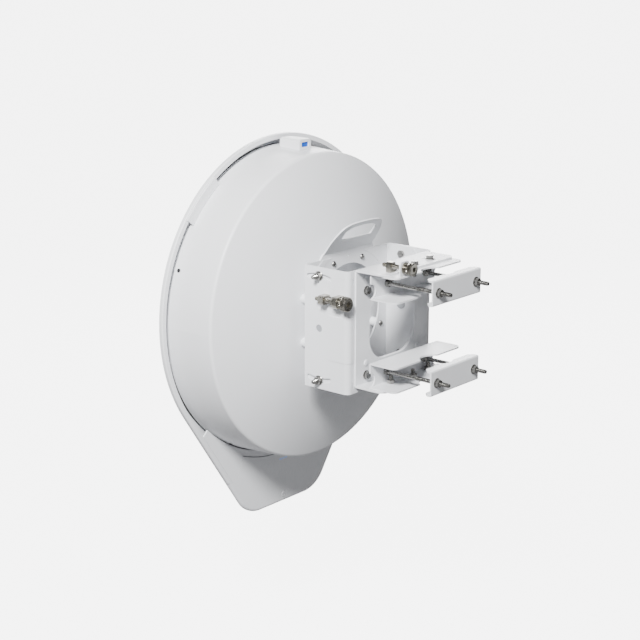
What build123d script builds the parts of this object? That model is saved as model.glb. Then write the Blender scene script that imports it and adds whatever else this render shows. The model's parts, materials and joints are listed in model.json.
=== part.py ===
from build123d import *
from math import atan2, cos, degrees, hypot, radians, sin, sqrt, tan
import os

# Outdoor wireless bridge: a covered dish aerial on a two-axis pole bracket.
# Millimetres. Origin on the mast axis, midway between the two mast clamps.
# +Z is up, the dish looks along -Y, and the mast runs along Z.

# ---- Mast clamp ------------------------------------------------------------
mast_radius = 30.15
clamp_pitch = 165.0            # between the upper and lower clamp
sheet = 3.0                    # bracket sheet thickness
clamp_web_y = 43.5             # outer face of the outer clamp's web
clamp_half_length = 72.2
clamp_height = 46.8
clamp_flange_depth = 18.7
clamp_end_chamfer = 9.0
clamp_bolt_x = 56.5
bolt_end_y = 72.0
bolt_thread_length = 74.0

# ---- Inner mast brackets ---------------------------------------------------
inner_web_y = -71.6            # mast side of the web
inner_half_width = 101.0
inner_height = 47.6
inner_front_y = -16.0          # flange edge beside the mast
inner_corner = 12.0
access_notch_radius = 13.5
access_notch_drop = 8.5
azimuth_tab_width = 26.0
azimuth_tab_margin = 13.0        # tab above the azimuth screw's axis

# ---- Fasteners -------------------------------------------------------------
m8_radius = 4.0
m8_hole = 4.5
m8_flats = 13.0
m8_nut_height = 6.5
m8_head_height = 5.3
m8_washer_radius = 8.5
washer_thickness = 1.6
m8_pitch = 1.25
gap = 0.3                      # room between sheets that move on each other
running_fit = 0.05             # radial room of a shaft in its hole

# ---- Azimuth yoke and its screw --------------------------------------------
pivot_y = -52.0
yoke_back_y = -101.9           # mast side of the yoke's back plate
yoke_half_width = 106.0
yoke_front_y = -38.0
yoke_front_corner = 16.0
mast_room = 6.0                # clear space left around the mast
azimuth_lock_x = 56.0
azimuth_lock_y = -60.0
azimuth_range = 10.0
azimuth_screw_x = 75.0
azimuth_screw_rise = 14.7        # screw's axis above the inner bracket
azimuth_nut_y = -48.6
azimuth_tab_y = -18.5
window_half_width = 67.0
window_half_height = 63.0
window_corner = 44.0
yoke_bolt_x = 77.0
yoke_bolt_z = (68.0, -91.0)
rivet_rise = 22.5
rivet_radius = 6.0

# ---- Elevation cradle and its screw ----------------------------------------
dish_z = -6.0                  # dish axis and tilt pivot height
cradle_half_width = 125.1
cradle_half_height = 114.6
cradle_front_y = -208.0
cradle_corner = 10.0
tilt_pivot_y = -173.4
tilt_lock_radius = 98.4
tilt_range = 14.0
pivot_pin_radius = 7.0
pin_recess = 0.6               # the pins end that much inside the cradle's face
elevation_screw_x = 137.0
elevation_screw_z = 53.5
elevation_nut_y = -153.5
elevation_stand_y = (-125.0, -114.0)
elevation_head_length = 12.0
elevation_collar_flats = 16.0
elevation_nut_reach = 8.0      # nut block beyond the screw's axis
peg_radius = 4.0
label_pad_raise = 0.8
relief_slot_x = 110.0
relief_slot_z = -8.5
relief_slot_spread = 97.5
dart_depth = 0.5
across = 140.0                 # reach of a cut right through both side walls

# ---- Tilt plate with its carrying handle -----------------------------------
plate_back_y = -209.0          # mast side of the tilt plate
plate_flange_end_y = -140.0
plate_flange_corner = 16.0
plate_hole_radius = 95.0
plate_bead_radii = (123.0, 134.0)  # raised bead pressed into the sheet
plate_bead_rise = 0.7
handle_bend_z = 116.0          # the tongue leans back towards the mast above this
handle_lean_deg = 36.0
handle_foot_half = 80.0
handle_half_width = 70.0
handle_rise = 74.0             # along the slope, from the bend to the top
grip_half_width = 44.0
grip_bottom = 32.0
grip_side_top = 52.0
grip_top = 64.5
hub_circle_radius = 109.0
hub_screw_count = 8
hub_boss_radius = 9.0
dimple_radius = 127.0

# ---- Dish ------------------------------------------------------------------
rim_radius = 324.4
rim_plane_y = -375.9           # rear face of the radome's rim
rim_wall_depth = 8.5
drum_radius_front = 303.0      # measured at the rim plane
drum_radius_fold = 296.8
fold_y = -281.8
dome_rise = 59.0
fold_round = 7.0
rim_edge_round = 2.5
shell_wall = 3.0
tail_tangent_deg = 34.0        # where the tail's straight sides leave the circle
tail_drop = 425.7              # dish axis to the blunt lower end
tail_corner = 70.0
radome_wall = 3.0
radome_lip = 9.5
front_inset = 18.0
front_depth = 14.0
bulge_radius = 290.0
bulge_rise = 10.0
skirt_overlap = 10.0
drum_front_y = -388.0
rim_screw_angles = (20.5, -59.0)
clip_start_deg = 37.0
clip_end_deg = 55.0
grommet_half = 12.0

# ---- Sight on top of the drum ----------------------------------------------
sight_half_width = 17.0
sight_rear_y = -315.0
sight_front_y = -364.0
sight_height = 319.5
sight_window = (20.0, 9.5)
sight_window_height = 309.0

# ---- Tail panel and sliding port cover -------------------------------------
panel_wall = 3.0
seam = 0.6
drum_gap = 2.6                 # open line between the drum and the tail panel
cover_gap = 1.8                # open line above the port cover
tail_start_deg = 45.6
band_radius = 318.0            # top edge of the port cover
cover_top_x = 117.5
cover_top_z = -297.5
cover_side_x = 134.7
cover_side_z = -342.7
cover_edge_round = 6.0
latch_z = -410.0
latch_radius = 6.0
fork_depth = 18.0
fork_half_gap = 2.9
lens_z = -332.7
lens_pitch = 6.0
lens_radius = 1.5

# ---- Works inside ----------------------------------------------------------
board_y = -393.4
board_thickness = 1.6
board_half_width = 100.0
board_top_z = -322.0
board_bottom_z = -382.0
reflector_rim_radius = 294.0
reflector_rim_y = -366.0
reflector_apex_y = -252.0
reflector_wall = 1.5
feed_radius = 11.0
feed_end_y = -378.0
subreflector_radius = 27.0

os.makedirs("parts", exist_ok=True)
parts = {}


# ---- Building blocks -------------------------------------------------------
def block(x0, x1, y0, y1, z0, z1):
    """A box between two corners."""
    return Pos((x0 + x1) / 2, (y0 + y1) / 2, (z0 + z1) / 2) * Box(x1 - x0, y1 - y0, z1 - z0)


def along(start, direction):
    """A plane at start whose normal is direction."""
    side = (1, 0, 0) if abs(direction[0]) < 0.9 else (0, 1, 0)
    return Plane(origin=start, x_dir=side, z_dir=direction)


def rod(start, direction, length, radius):
    seat = (Align.CENTER, Align.CENTER, Align.MIN)
    return along(start, direction) * Cylinder(radius, length, align=seat)


def ring(start, direction, length, outer, inner):
    return rod(start, direction, length, outer) - rod(start, direction, length, inner)


def hexagon(start, direction, length, flats, bore=0.0):
    profile = RegularPolygon(flats / sqrt(3), 6)
    body = extrude(along(start, direction) * profile, amount=length)
    if bore:
        body -= rod(start, direction, length, bore)
    return body


def flange_nut(start, direction, bore):
    """A hexagon nut on its own round flange."""
    flange = ring(start, direction, 2.0, 9.0, bore)
    top = [s + 2.0 * d for s, d in zip(start, direction)]
    return flange + hexagon(top, direction, m8_nut_height - 0.5, m8_flats, bore)


def arc_slot(axis_plane, radius, centre_deg, half_deg, half_width, depth):
    """A slot that follows an arc about the plane's origin, cut both ways by depth."""
    line = CenterArc((0, 0), radius, centre_deg - half_deg, 2 * half_deg)
    return extrude(axis_plane * SlotArc(line, 2 * half_width), amount=depth, both=True)


def front_plane(y):
    """Plane across the dish axis: local y is up, its normal looks forward."""
    return Plane(origin=(0, y, dish_z), x_dir=(1, 0, 0), z_dir=(0, -1, 0))


def about_axis(points_to_face):
    """Turn a section in X (radius) and Y about the dish axis."""
    return Pos(0, 0, dish_z) * revolve(points_to_face, Axis.Y, 360)


def keep(name, *solids):
    parts[name] = Compound(children=list(solids)) if len(solids) > 1 else solids[0]


upper_z = clamp_pitch / 2
clamp_levels = {"upper": upper_z, "lower": -upper_z}
mast_hole = Cylinder(mast_radius, 3 * clamp_pitch)


# ---- Outer clamps and their long bolts -------------------------------------
def outer_clamp(z):
    half = clamp_height / 2
    tip_y = clamp_web_y - clamp_flange_depth
    outer = block(-clamp_half_length, clamp_half_length, tip_y, clamp_web_y, z - half, z + half)
    outer = fillet(outer.edges().filter_by(Axis.X).sort_by(Axis.Y)[-2:], 3.0)
    inner_top = clamp_web_y - sheet
    outer -= block(-clamp_half_length, clamp_half_length, tip_y, inner_top,
                   z - half + sheet, z + half - sheet)
    for side in (-1, 1):
        wedge = Polyline((side * clamp_half_length, tip_y),
                         (side * (clamp_half_length - clamp_end_chamfer), tip_y),
                         (side * clamp_half_length, tip_y + clamp_end_chamfer), close=True)
        outer -= Pos(0, 0, z) * extrude(make_face(wedge), amount=half, both=True)
        hole = rod((side * clamp_bolt_x, clamp_web_y + 1, z), (0, -1, 0), 2 * sheet, m8_hole)
        outer -= hole
    return outer - mast_hole


def clamp_bolt(x, z):
    """A carriage bolt: domed head behind the inner web, thread at the mast end."""
    web_back = inner_web_y - sheet
    shank = rod((x, web_back, z), (0, 1, 0), bolt_end_y - web_back - bolt_thread_length, 3.6)
    thread_start = bolt_end_y - bolt_thread_length
    thread = rod((x, thread_start, z), (0, 1, 0), bolt_thread_length, m8_radius)
    thread = chamfer(thread.edges().sort_by(Axis.Y)[-1], 0.8)
    neck = rod((x, web_back, z), (0, 1, 0), sheet, m8_radius)
    lock_thread = rod((x, web_back, z), (0, 1, 0), sheet + m8_nut_height + 6.0, m8_radius)
    head = rod((x, web_back, z), (0, -1, 0), 4.0, 8.5)
    head = fillet(head.edges().sort_by(Axis.Y)[0], 3.0)
    return shank + thread + neck + lock_thread + head


bolts = []
lock_nuts = []
for level, z in clamp_levels.items():
    keep("outer_clamp_" + level, outer_clamp(z))
    nuts = []
    for side in (-1, 1):
        x = side * clamp_bolt_x
        bolts.append(clamp_bolt(x, z))
        lock_nuts.append(hexagon((x, inner_web_y, z), (0, 1, 0), m8_nut_height, m8_flats, m8_radius))
        nuts.append(flange_nut((x, clamp_web_y, z), (0, 1, 0), m8_radius + running_fit))
    keep("clamp_nuts_" + level, *nuts)
keep("clamp_bolts", *bolts)
keep("clamp_bolt_lock_nuts", *lock_nuts)


# ---- Inner mast brackets ---------------------------------------------------
def inner_bracket(z):
    half = inner_height / 2
    web_back = inner_web_y - sheet
    body = block(-inner_half_width, inner_half_width, web_back, inner_front_y, z - half, z + half)
    front = body.edges().filter_by(Axis.Z).sort_by(Axis.Y)[-2:]
    body = fillet(front, inner_corner)
    body = fillet(body.edges().filter_by(Axis.X).sort_by(Axis.Y)[:2], 3.0)
    body -= block(-inner_half_width, inner_half_width, inner_web_y, inner_front_y,
                  z - half + sheet, z + half - sheet)
    flange_holes = [(0, pivot_y, m8_radius + running_fit)]
    for side in (-1, 1):
        flange_holes.append((side * azimuth_lock_x, azimuth_lock_y, m8_hole))
        notch_at = (side * inner_half_width, inner_web_y + 1, z - access_notch_drop)
        body -= rod(notch_at, (0, -1, 0), 2 * sheet, access_notch_radius)
        body -= rod((side * clamp_bolt_x, inner_web_y + 1, z), (0, -1, 0), 2 * sheet, m8_radius)
    outward = 1 if z > 0 else -1
    for x, y, radius in flange_holes:
        start = (x, y, z + outward * (half + 1))
        body -= rod(start, (0, 0, -outward), sheet + 2, radius)
    return body - mast_hole


inner_top = upper_z + inner_height / 2
azimuth_screw_z = inner_top + azimuth_screw_rise
azimuth_tab_top = azimuth_screw_z + azimuth_tab_margin
upper_bracket = inner_bracket(upper_z)
tab_back = azimuth_tab_y - sheet / 2
tab = block(azimuth_screw_x - azimuth_tab_width / 2, azimuth_screw_x + azimuth_tab_width / 2,
            tab_back, tab_back + sheet, inner_top - sheet, azimuth_tab_top)
tab = fillet(tab.edges().filter_by(Axis.Y).sort_by(Axis.Z)[-2:], 8.0)
tab -= rod((azimuth_screw_x, tab_back - 1, azimuth_screw_z), (0, 1, 0), sheet + 2, m8_radius + running_fit)
keep("inner_bracket_upper", upper_bracket + tab)
keep("inner_bracket_lower", inner_bracket(-upper_z))

# ---- Azimuth yoke: back plate with a flange above and below the brackets ----
yoke_top = inner_top + gap + sheet
pivot_plane = Plane(origin=(0, pivot_y, 0))
yoke = block(-yoke_half_width, yoke_half_width, yoke_back_y - sheet, yoke_front_y, -yoke_top, yoke_top)
yoke = fillet(yoke.edges().filter_by(Axis.X).sort_by(Axis.Y)[:2], 4.0)
yoke = fillet(yoke.edges().filter_by(Axis.Z).sort_by(Axis.Y)[-2:], yoke_front_corner)
yoke -= block(-yoke_half_width, yoke_half_width, yoke_back_y, yoke_front_y,
              -yoke_top + sheet, yoke_top - sheet)
window = RectangleRounded(2 * window_half_width, 2 * window_half_height, window_corner)
window_cut = extrude(front_plane(yoke_back_y + 1) * window, amount=12.0)
yoke -= window_cut
yoke -= Cylinder(mast_radius + mast_room, 3 * clamp_pitch)
lock_reach = hypot(azimuth_lock_x, azimuth_lock_y - pivot_y)
lock_angle = degrees(atan2(azimuth_lock_y - pivot_y, azimuth_lock_x))
for face in (-1, 1):
    level = face * (yoke_top - sheet / 2)
    yoke -= rod((0, pivot_y, level - 2 * sheet), (0, 0, 1), 4 * sheet, m8_radius + running_fit)
    for centre in (lock_angle, 180 - lock_angle):
        yoke -= Pos(0, 0, level) * arc_slot(pivot_plane, lock_reach, centre,
                                            azimuth_range + 0.5, m8_hole, 2 * sheet)
peg_slot = SlotCenterToCenter(4.0, 2 * (peg_radius + 0.25))
yoke -= Pos(azimuth_screw_x + 0.6, azimuth_nut_y, yoke_top) * extrude(peg_slot, amount=2 * sheet, both=True)
yoke_holes = [(side * yoke_bolt_x, z) for side in (-1, 1) for z in yoke_bolt_z]
for x, z in yoke_holes:
    yoke -= rod((x, yoke_back_y + 1, z), (0, -1, 0), 2 * sheet, m8_hole)
    yoke -= rod((x, yoke_back_y + 1, z + rivet_rise), (0, -1, 0), 2 * sheet, 3.0)
keep("azimuth_yoke", yoke)

pivots = []
pivot_nuts = []
locks = []
lock_bolt_nuts = []
for face in (-1, 1):
    up = (0, 0, face)
    down = (0, 0, -face)
    outside = face * yoke_top
    under = face * (inner_top - sheet)
    for x, y, bolt_list, nut_list in ((0, pivot_y, pivots, pivot_nuts),
                                      (-azimuth_lock_x, azimuth_lock_y, locks, lock_bolt_nuts),
                                      (azimuth_lock_x, azimuth_lock_y, locks, lock_bolt_nuts)):
        seat = outside + face * gap
        head_seat = seat + face * washer_thickness
        bolt = rod((x, y, seat), up, washer_thickness, m8_washer_radius)
        bolt += hexagon((x, y, head_seat), up, m8_head_height, m8_flats)
        bolt += rod((x, y, head_seat), down, 24.0, m8_radius)
        bolt_list.append(bolt)
        nut_list.append(hexagon((x, y, under), down, m8_nut_height, m8_flats, m8_radius))
keep("azimuth_pivot_bolts", *pivots)
keep("azimuth_pivot_nuts", *pivot_nuts)
keep("azimuth_lock_bolts", *locks)
keep("azimuth_lock_nuts", *lock_bolt_nuts)

# ---- Elevation cradle: a U of sheet bolted to the yoke ---------------------
cradle_back_y = yoke_back_y - sheet
cradle_plane = Plane.XY.offset(dish_z)


def cradle_section(grow):
    """Plan outline of the U, grown outwards by the given amount."""
    reach = cradle_half_width + grow
    back = cradle_back_y + grow
    front = cradle_front_y - 40.0
    outline = Pos(0, (front + back) / 2) * RectangleRounded(2 * reach, back - front, cradle_corner + grow)
    return outline - Pos(0, cradle_front_y - 30.0) * Rectangle(4 * reach, 60.0)


cradle_shape = cradle_section(0) - cradle_section(-sheet)
cradle = extrude(cradle_plane * cradle_shape, amount=cradle_half_height, both=True)
pad_section = cradle_section(label_pad_raise) - cradle_section(-sheet / 2)
pad = Pos(0, 0, -20.0) * extrude(pad_section, amount=42.0, both=True)
cradle += pad & block(108.0, 130.0, -150.0, -100.0, -62.0, 22.0)
cradle -= window_cut
for x in (-relief_slot_x, relief_slot_x):
    for z in (relief_slot_z - relief_slot_spread, relief_slot_z + relief_slot_spread):
        slot = Plane(origin=(x, cradle_back_y + 1, z), x_dir=(0, 0, 1), z_dir=(0, -1, 0)) * SlotOverall(9.0, 2.4)
        cradle -= extrude(slot, amount=2 * sheet)
        dart = Pos(0, 0, z + 5.0) * extrude(cradle_section(0.1) - cradle_section(-dart_depth), amount=0.9)
        corner_side = 1 if x > 0 else -1
        cradle -= dart & Pos(corner_side * cradle_half_width, cradle_back_y, z) * Box(34.0, 50.0, 40.0)
side_plane = Plane(origin=(0, tilt_pivot_y, dish_z), x_dir=(0, 1, 0), z_dir=(1, 0, 0))
slot_half_deg = tilt_range + 0.5
for centre in (90, -90):
    cradle -= arc_slot(side_plane, tilt_lock_radius, centre, slot_half_deg, m8_hole, across)
cradle -= rod((-across, tilt_pivot_y, dish_z), (1, 0, 0), 2 * across, pivot_pin_radius + running_fit)
peg_window = SlotCenterToCenter(31.5, 2 * (peg_radius + 0.5))
window_plane = Plane(origin=(130, elevation_nut_y, elevation_screw_z), x_dir=(0, 1, 0), z_dir=(-1, 0, 0))
cradle -= extrude(window_plane * peg_window, amount=20.0)
for x, z in yoke_holes:
    cradle -= rod((x, cradle_back_y + 1, z), (0, -1, 0), 2 * sheet, m8_hole)
    cradle -= rod((x, cradle_back_y + 1, z + rivet_rise), (0, -1, 0), 2 * sheet, 3.0)
keep("elevation_cradle", cradle)

yoke_bolts = []
yoke_nuts = []
rivets = []
for x, z in yoke_holes:
    bolt = rod((x, yoke_back_y, z), (0, 1, 0), washer_thickness, m8_washer_radius)
    bolt += hexagon((x, yoke_back_y + washer_thickness, z), (0, 1, 0), m8_head_height, m8_flats)
    bolt += rod((x, yoke_back_y, z), (0, -1, 0), 2 * sheet + m8_nut_height + 3.0, m8_radius)
    yoke_bolts.append(bolt)
    inside = cradle_back_y - sheet
    yoke_nuts.append(hexagon((x, inside, z), (0, -1, 0), m8_nut_height, m8_flats, m8_radius))
    rivet = rod((x, yoke_back_y, z + rivet_rise), (0, 1, 0), 1.8, rivet_radius)
    rivet = fillet(rivet.edges().sort_by(Axis.Y)[-1], 1.2)
    rivet += rod((x, yoke_back_y, z + rivet_rise), (0, -1, 0), 2 * sheet, 3.0)
    rivet += rod((x, inside, z + rivet_rise), (0, -1, 0), 1.8, rivet_radius - 1.0)
    rivets.append(rivet)
keep("yoke_bolts", *yoke_bolts)
keep("yoke_nuts", *yoke_nuts)
keep("yoke_rivets", *rivets)

# ---- Elevation adjusting screw ---------------------------------------------
stand_back, stand_front = elevation_stand_y
screw_axis = (0, 1, 0)
stand = block(cradle_half_width, elevation_screw_x + 11.0, stand_back, stand_front,
              elevation_screw_z - 11.0, elevation_screw_z + 11.0)
stand = fillet(stand.edges().filter_by(Axis.Y).sort_by(Axis.X)[-2:], 9.0)
stand -= rod((elevation_screw_x, stand_back - 1, elevation_screw_z), screw_axis, 20.0,
             m8_radius + running_fit)
keep("elevation_screw_stand", stand)


def knurled_head(start, length, radius, socket):
    """A round head with shallow grip flutes and a hexagon socket."""
    head = rod(start, (0, 1, 0), length, radius)
    head = chamfer(head.edges().sort_by(Axis.Y)[-1], 2.0)
    for i in range(12):
        turn = radians(30 * i)
        at = (start[0] + radius * cos(turn), start[1], start[2] + radius * sin(turn))
        head -= rod(at, (0, 1, 0), length, 1.4)
    end = (start[0], start[1] + length, start[2])
    return head - hexagon(end, (0, -1, 0), 6.0, socket)


elevation_tip_y = -171.0
screw_start = (elevation_screw_x, elevation_tip_y, elevation_screw_z)
screw = rod(screw_start, screw_axis, 66.0, m8_radius)
screw = chamfer(screw.edges().sort_by(Axis.Y)[0], 0.8)
screw += rod((elevation_screw_x, stand_front + gap, elevation_screw_z), screw_axis, 3.0, 10.0)
screw += rod((elevation_screw_x, stand_front + 3.0, elevation_screw_z), screw_axis, 6.0, 8.0)
screw += knurled_head((elevation_screw_x, -106.0, elevation_screw_z), elevation_head_length, 13.5, 10.0)
keep("elevation_screw", screw)
collar_start = (elevation_screw_x, stand_back - gap, elevation_screw_z)
keep("elevation_screw_collar",
     hexagon(collar_start, (0, -1, 0), m8_nut_height - gap, elevation_collar_flats, m8_radius))

nut_half = 6.0
reach = elevation_nut_reach
nut_block = block(cradle_half_width + gap, elevation_screw_x + reach, elevation_nut_y - nut_half,
                  elevation_nut_y + nut_half, elevation_screw_z - reach, elevation_screw_z + reach)
nut_block = fillet(nut_block.edges().filter_by(Axis.Y).sort_by(Axis.X)[-2:], 3.0)
nut_block += rod((cradle_half_width + gap, elevation_nut_y, elevation_screw_z), (-1, 0, 0),
                 2 * sheet + 1.8, peg_radius)
nut_block -= rod((elevation_screw_x, elevation_nut_y - 10, elevation_screw_z), screw_axis, 20.0,
                 m8_radius + running_fit)
keep("elevation_screw_nut", nut_block)

# ---- Azimuth adjusting screw -----------------------------------------------
azimuth_tip_y = -66.0
screw_start = (azimuth_screw_x, azimuth_tip_y, azimuth_screw_z)
screw = rod(screw_start, screw_axis, 60.0, m8_radius)
screw = chamfer(screw.edges().sort_by(Axis.Y)[0], 0.8)
tab_front = tab_back + sheet
screw += rod((azimuth_screw_x, tab_front + gap, azimuth_screw_z), screw_axis, 2.4, 11.0)
screw += rod((azimuth_screw_x, tab_front + 2.5, azimuth_screw_z), screw_axis, 8.0, 6.5)
screw += knurled_head((azimuth_screw_x, -7.0, azimuth_screw_z), 11.0, 11.5, 8.0)
keep("azimuth_screw", screw)
collar_start = (azimuth_screw_x, tab_back - gap, azimuth_screw_z)
keep("azimuth_screw_collar", hexagon(collar_start, (0, -1, 0), 5.0, m8_flats, m8_radius))

saddle_half = 5.5
saddle = block(azimuth_screw_x - 7.0, azimuth_screw_x + 7.0, azimuth_nut_y - saddle_half,
               azimuth_nut_y + saddle_half, yoke_top + gap, azimuth_screw_z + 7.5)
saddle = fillet(saddle.edges().filter_by(Axis.Y).sort_by(Axis.Z)[-2:], 4.0)
saddle += rod((azimuth_screw_x, azimuth_nut_y, yoke_top + gap), (0, 0, -1), sheet, peg_radius)
saddle -= rod((azimuth_screw_x, azimuth_nut_y - 10, azimuth_screw_z), screw_axis, 20.0,
              m8_radius + running_fit)
keep("azimuth_screw_nut", saddle)

# ---- Tilt plate with side flanges and a carrying handle --------------------
flange_outer = cradle_half_width - sheet - 0.5
plate_half_height = cradle_half_height - 1.0
plate_front_y = plate_back_y - sheet
plate = extrude(front_plane(plate_back_y) * Rectangle(2 * flange_outer, 2 * plate_half_height), amount=sheet)
for side in (-1, 1):
    wall = block(-sheet / 2, sheet / 2, plate_front_y, plate_flange_end_y,
                 dish_z - plate_half_height, dish_z + plate_half_height)
    wall = fillet(wall.edges().filter_by(Axis.X).sort_by(Axis.Y)[-2:], plate_flange_corner)
    plate += Pos(side * (flange_outer - sheet / 2), 0, 0) * wall
outer_corners = plate.edges().filter_by(Axis.Z).sort_by(Axis.Y)[:2]
plate = fillet(outer_corners, 4.0)

# Raised bead around the upper half of the hub, kept to the flat of the sheet
inner_bead, outer_bead = plate_bead_radii
flat = Pos(0, plate_half_height / 2) * Rectangle(2 * flange_outer - 12.0, plate_half_height - 2.0)
plate += extrude(front_plane(plate_back_y) * ((Circle(outer_bead) - Circle(inner_bead)) & flat),
                 amount=-plate_bead_rise)

# The carrying handle: a tongue of the same sheet that leans back above its bend.
lean = radians(handle_lean_deg)
lean_plane = Plane(origin=(0, plate_back_y, handle_bend_z), x_dir=(1, 0, 0), z_dir=(0, -cos(lean), sin(lean)))
top_y = plate_back_y + handle_rise * sin(lean)
top_z = handle_bend_z + handle_rise * cos(lean)
foot_z = dish_z + plate_half_height - 4.0
bend_out_z = handle_bend_z + sheet * tan(lean / 2)
tongue_section = Polyline((plate_back_y, foot_z), (plate_back_y, handle_bend_z), (top_y, top_z),
                          (top_y - sheet * cos(lean), top_z + sheet * sin(lean)),
                          (plate_front_y, bend_out_z), (plate_front_y, foot_z), close=True)
tongue = extrude(Plane.YZ * make_face(tongue_section), amount=handle_foot_half, both=True)
half_outline = [(handle_half_width, 2.0), (69.5, 14.0), (68.5, 30.0), (63.5, 48.0), (54.0, 64.0), (39.0, 71.0),
                (18.0, handle_rise - 0.4)]
curve = Spline([*half_outline, (0, handle_rise), *[(-u, v) for u, v in reversed(half_outline)]])
foot = Polyline((-handle_half_width, 2.0), (-handle_foot_half, -8.0), (-handle_foot_half, -20.0),
                (handle_foot_half, -20.0), (handle_foot_half, -8.0), (handle_half_width, 2.0))
handle = tongue & extrude(lean_plane * make_face([curve, foot]), amount=4 * sheet, both=True)
grip_sides = Polyline((grip_half_width, grip_side_top), (grip_half_width, grip_bottom),
                      (-grip_half_width, grip_bottom), (-grip_half_width, grip_side_top))
grip_crown = Spline((-grip_half_width, grip_side_top), (-35.0, 59.0), (-18.0, 63.5), (0, grip_top),
                    (18.0, 63.5), (35.0, 59.0), (grip_half_width, grip_side_top))
grip = make_face([grip_sides, grip_crown])
grip = fillet(grip.vertices().sort_by(Axis.Y)[:2], 4.0)
handle -= extrude(lean_plane * grip, amount=4 * sheet, both=True)
plate += handle
plate -= extrude(front_plane(plate_back_y + 1) * Circle(plate_hole_radius), amount=2 * sheet)
hub_spots = []
for i in range(hub_screw_count):
    turn = radians(22.5 + i * 360 / hub_screw_count)
    hub_spots.append((hub_circle_radius * cos(turn), dish_z + hub_circle_radius * sin(turn)))
for x, z in hub_spots:
    plate -= rod((x, plate_back_y + 1, z), (0, -1, 0), 2 * sheet, 3.2)
for deg in (69.0, 90.0, 111.0):
    turn = radians(deg)
    at = (dimple_radius * cos(turn) * 0.87, plate_back_y + 1, dish_z + dimple_radius * sin(turn) * 0.87)
    plate -= rod(at, (0, -1, 0), 2 * sheet, 2.0)
for centre in (90, -90):
    at_z = dish_z + (tilt_lock_radius if centre > 0 else -tilt_lock_radius)
    plate -= rod((-across, tilt_pivot_y, at_z), (1, 0, 0), 2 * across, m8_hole)
plate -= rod((-across, tilt_pivot_y, dish_z), (1, 0, 0), 2 * across, pivot_pin_radius)
drive_slot = SlotCenterToCenter(13.0, 2 * (peg_radius + 0.75))
drive_plane = Plane(origin=(130, elevation_nut_y, elevation_screw_z + 1.5), x_dir=(0, 0, 1), z_dir=(-1, 0, 0))
plate -= extrude(drive_plane * drive_slot, amount=20.0)
keep("tilt_plate", plate)

pins = []
tilt_bolts = []
tilt_nuts = []
tilt_washers = []
for side in (-1, 1):
    outward = (side, 0, 0)
    inward = (-side, 0, 0)
    inner_face = side * (flange_outer - sheet)
    outer_face = side * (cradle_half_width + gap)
    pin = rod((inner_face, tilt_pivot_y, dish_z), outward, 2 * sheet - pin_recess, pivot_pin_radius)
    pin += rod((inner_face, tilt_pivot_y, dish_z), inward, 2.0, pivot_pin_radius + 3.0)
    pins.append(pin)
    for level in (-1, 1):
        z = dish_z + level * tilt_lock_radius
        bolt = hexagon((inner_face, tilt_pivot_y, z), inward, m8_head_height, m8_flats)
        bolt += rod((inner_face, tilt_pivot_y, z), outward, 25.0, m8_radius)
        tilt_bolts.append(bolt)
        tilt_washers.append(ring((outer_face, tilt_pivot_y, z), outward, washer_thickness, 9.0, m8_radius))
        nut_face = outer_face + side * washer_thickness
        tilt_nuts.append(hexagon((nut_face, tilt_pivot_y, z), outward, m8_nut_height, m8_flats, m8_radius))
keep("tilt_pivot_pins", *pins)
keep("tilt_lock_bolts", *tilt_bolts)
keep("tilt_lock_nuts", *tilt_nuts)
keep("tilt_lock_washers", *tilt_washers)

hub_screws = []
for x, z in hub_spots:
    screw = rod((x, plate_back_y, z), (0, 1, 0), 3.2, 5.5)
    screw = fillet(screw.edges().sort_by(Axis.Y)[-1], 1.5)
    screw += rod((x, plate_back_y, z), (0, -1, 0), 24.0, 3.0)
    hub_screws.append(screw)
keep("hub_screws", *hub_screws)

lug_x = 60.0
lug_z = dish_z - plate_half_height + 9.0
lug_tube_y = plate_back_y + 5.3
lug = block(lug_x - 7.0, lug_x + 7.0, plate_back_y, plate_back_y + 2.0, lug_z - 8.0, lug_z + 8.0)
lug += ring((lug_x, lug_tube_y, lug_z - 6.5), (0, 0, -1), 14.0, 5.0, 3.0)
lug -= rod((lug_x, plate_back_y - 1, lug_z + 1.0), (0, 1, 0), 4.0, 3.0)
keep("ground_lug", lug)
ground_screw = hexagon((lug_x, plate_back_y + 2.0, lug_z + 1.0), (0, 1, 0), 3.0, 8.0)
ground_screw += rod((lug_x, plate_back_y + 2.0, lug_z + 1.0), (0, -1, 0), 2.0, 3.0)
keep("ground_screw", ground_screw)

# ---- Dish shell: tapered drum with a shallow domed back --------------------
drum_taper = (drum_radius_front - drum_radius_fold) / (fold_y - rim_plane_y)
dome_radius = (drum_radius_fold ** 2 + dome_rise ** 2) / (2 * dome_rise)
dome_apex_y = fold_y + dome_rise


def drum_radius(y):
    return drum_radius_fold + drum_taper * (fold_y - y)


def dome_y(radius, inset=0.0):
    """Height of the dome's surface, or of its inner surface, at a radius."""
    reach = dome_radius - inset
    return dome_apex_y - dome_radius + sqrt(reach ** 2 - radius ** 2)


def shell_section(inset):
    """Half section in radius and Y, closed on the axis."""
    edge = drum_radius_fold - inset
    corner = (edge, dome_y(edge, inset))
    middle = (edge / 2, dome_y(edge / 2, inset))
    apex = (0, dome_apex_y - inset)
    front = (drum_radius(drum_front_y) - inset, drum_front_y)
    arc = ThreePointArc(apex, middle, corner)
    lines = Polyline(corner, front, (0, drum_front_y), apex)
    return make_face([arc, lines])


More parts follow.
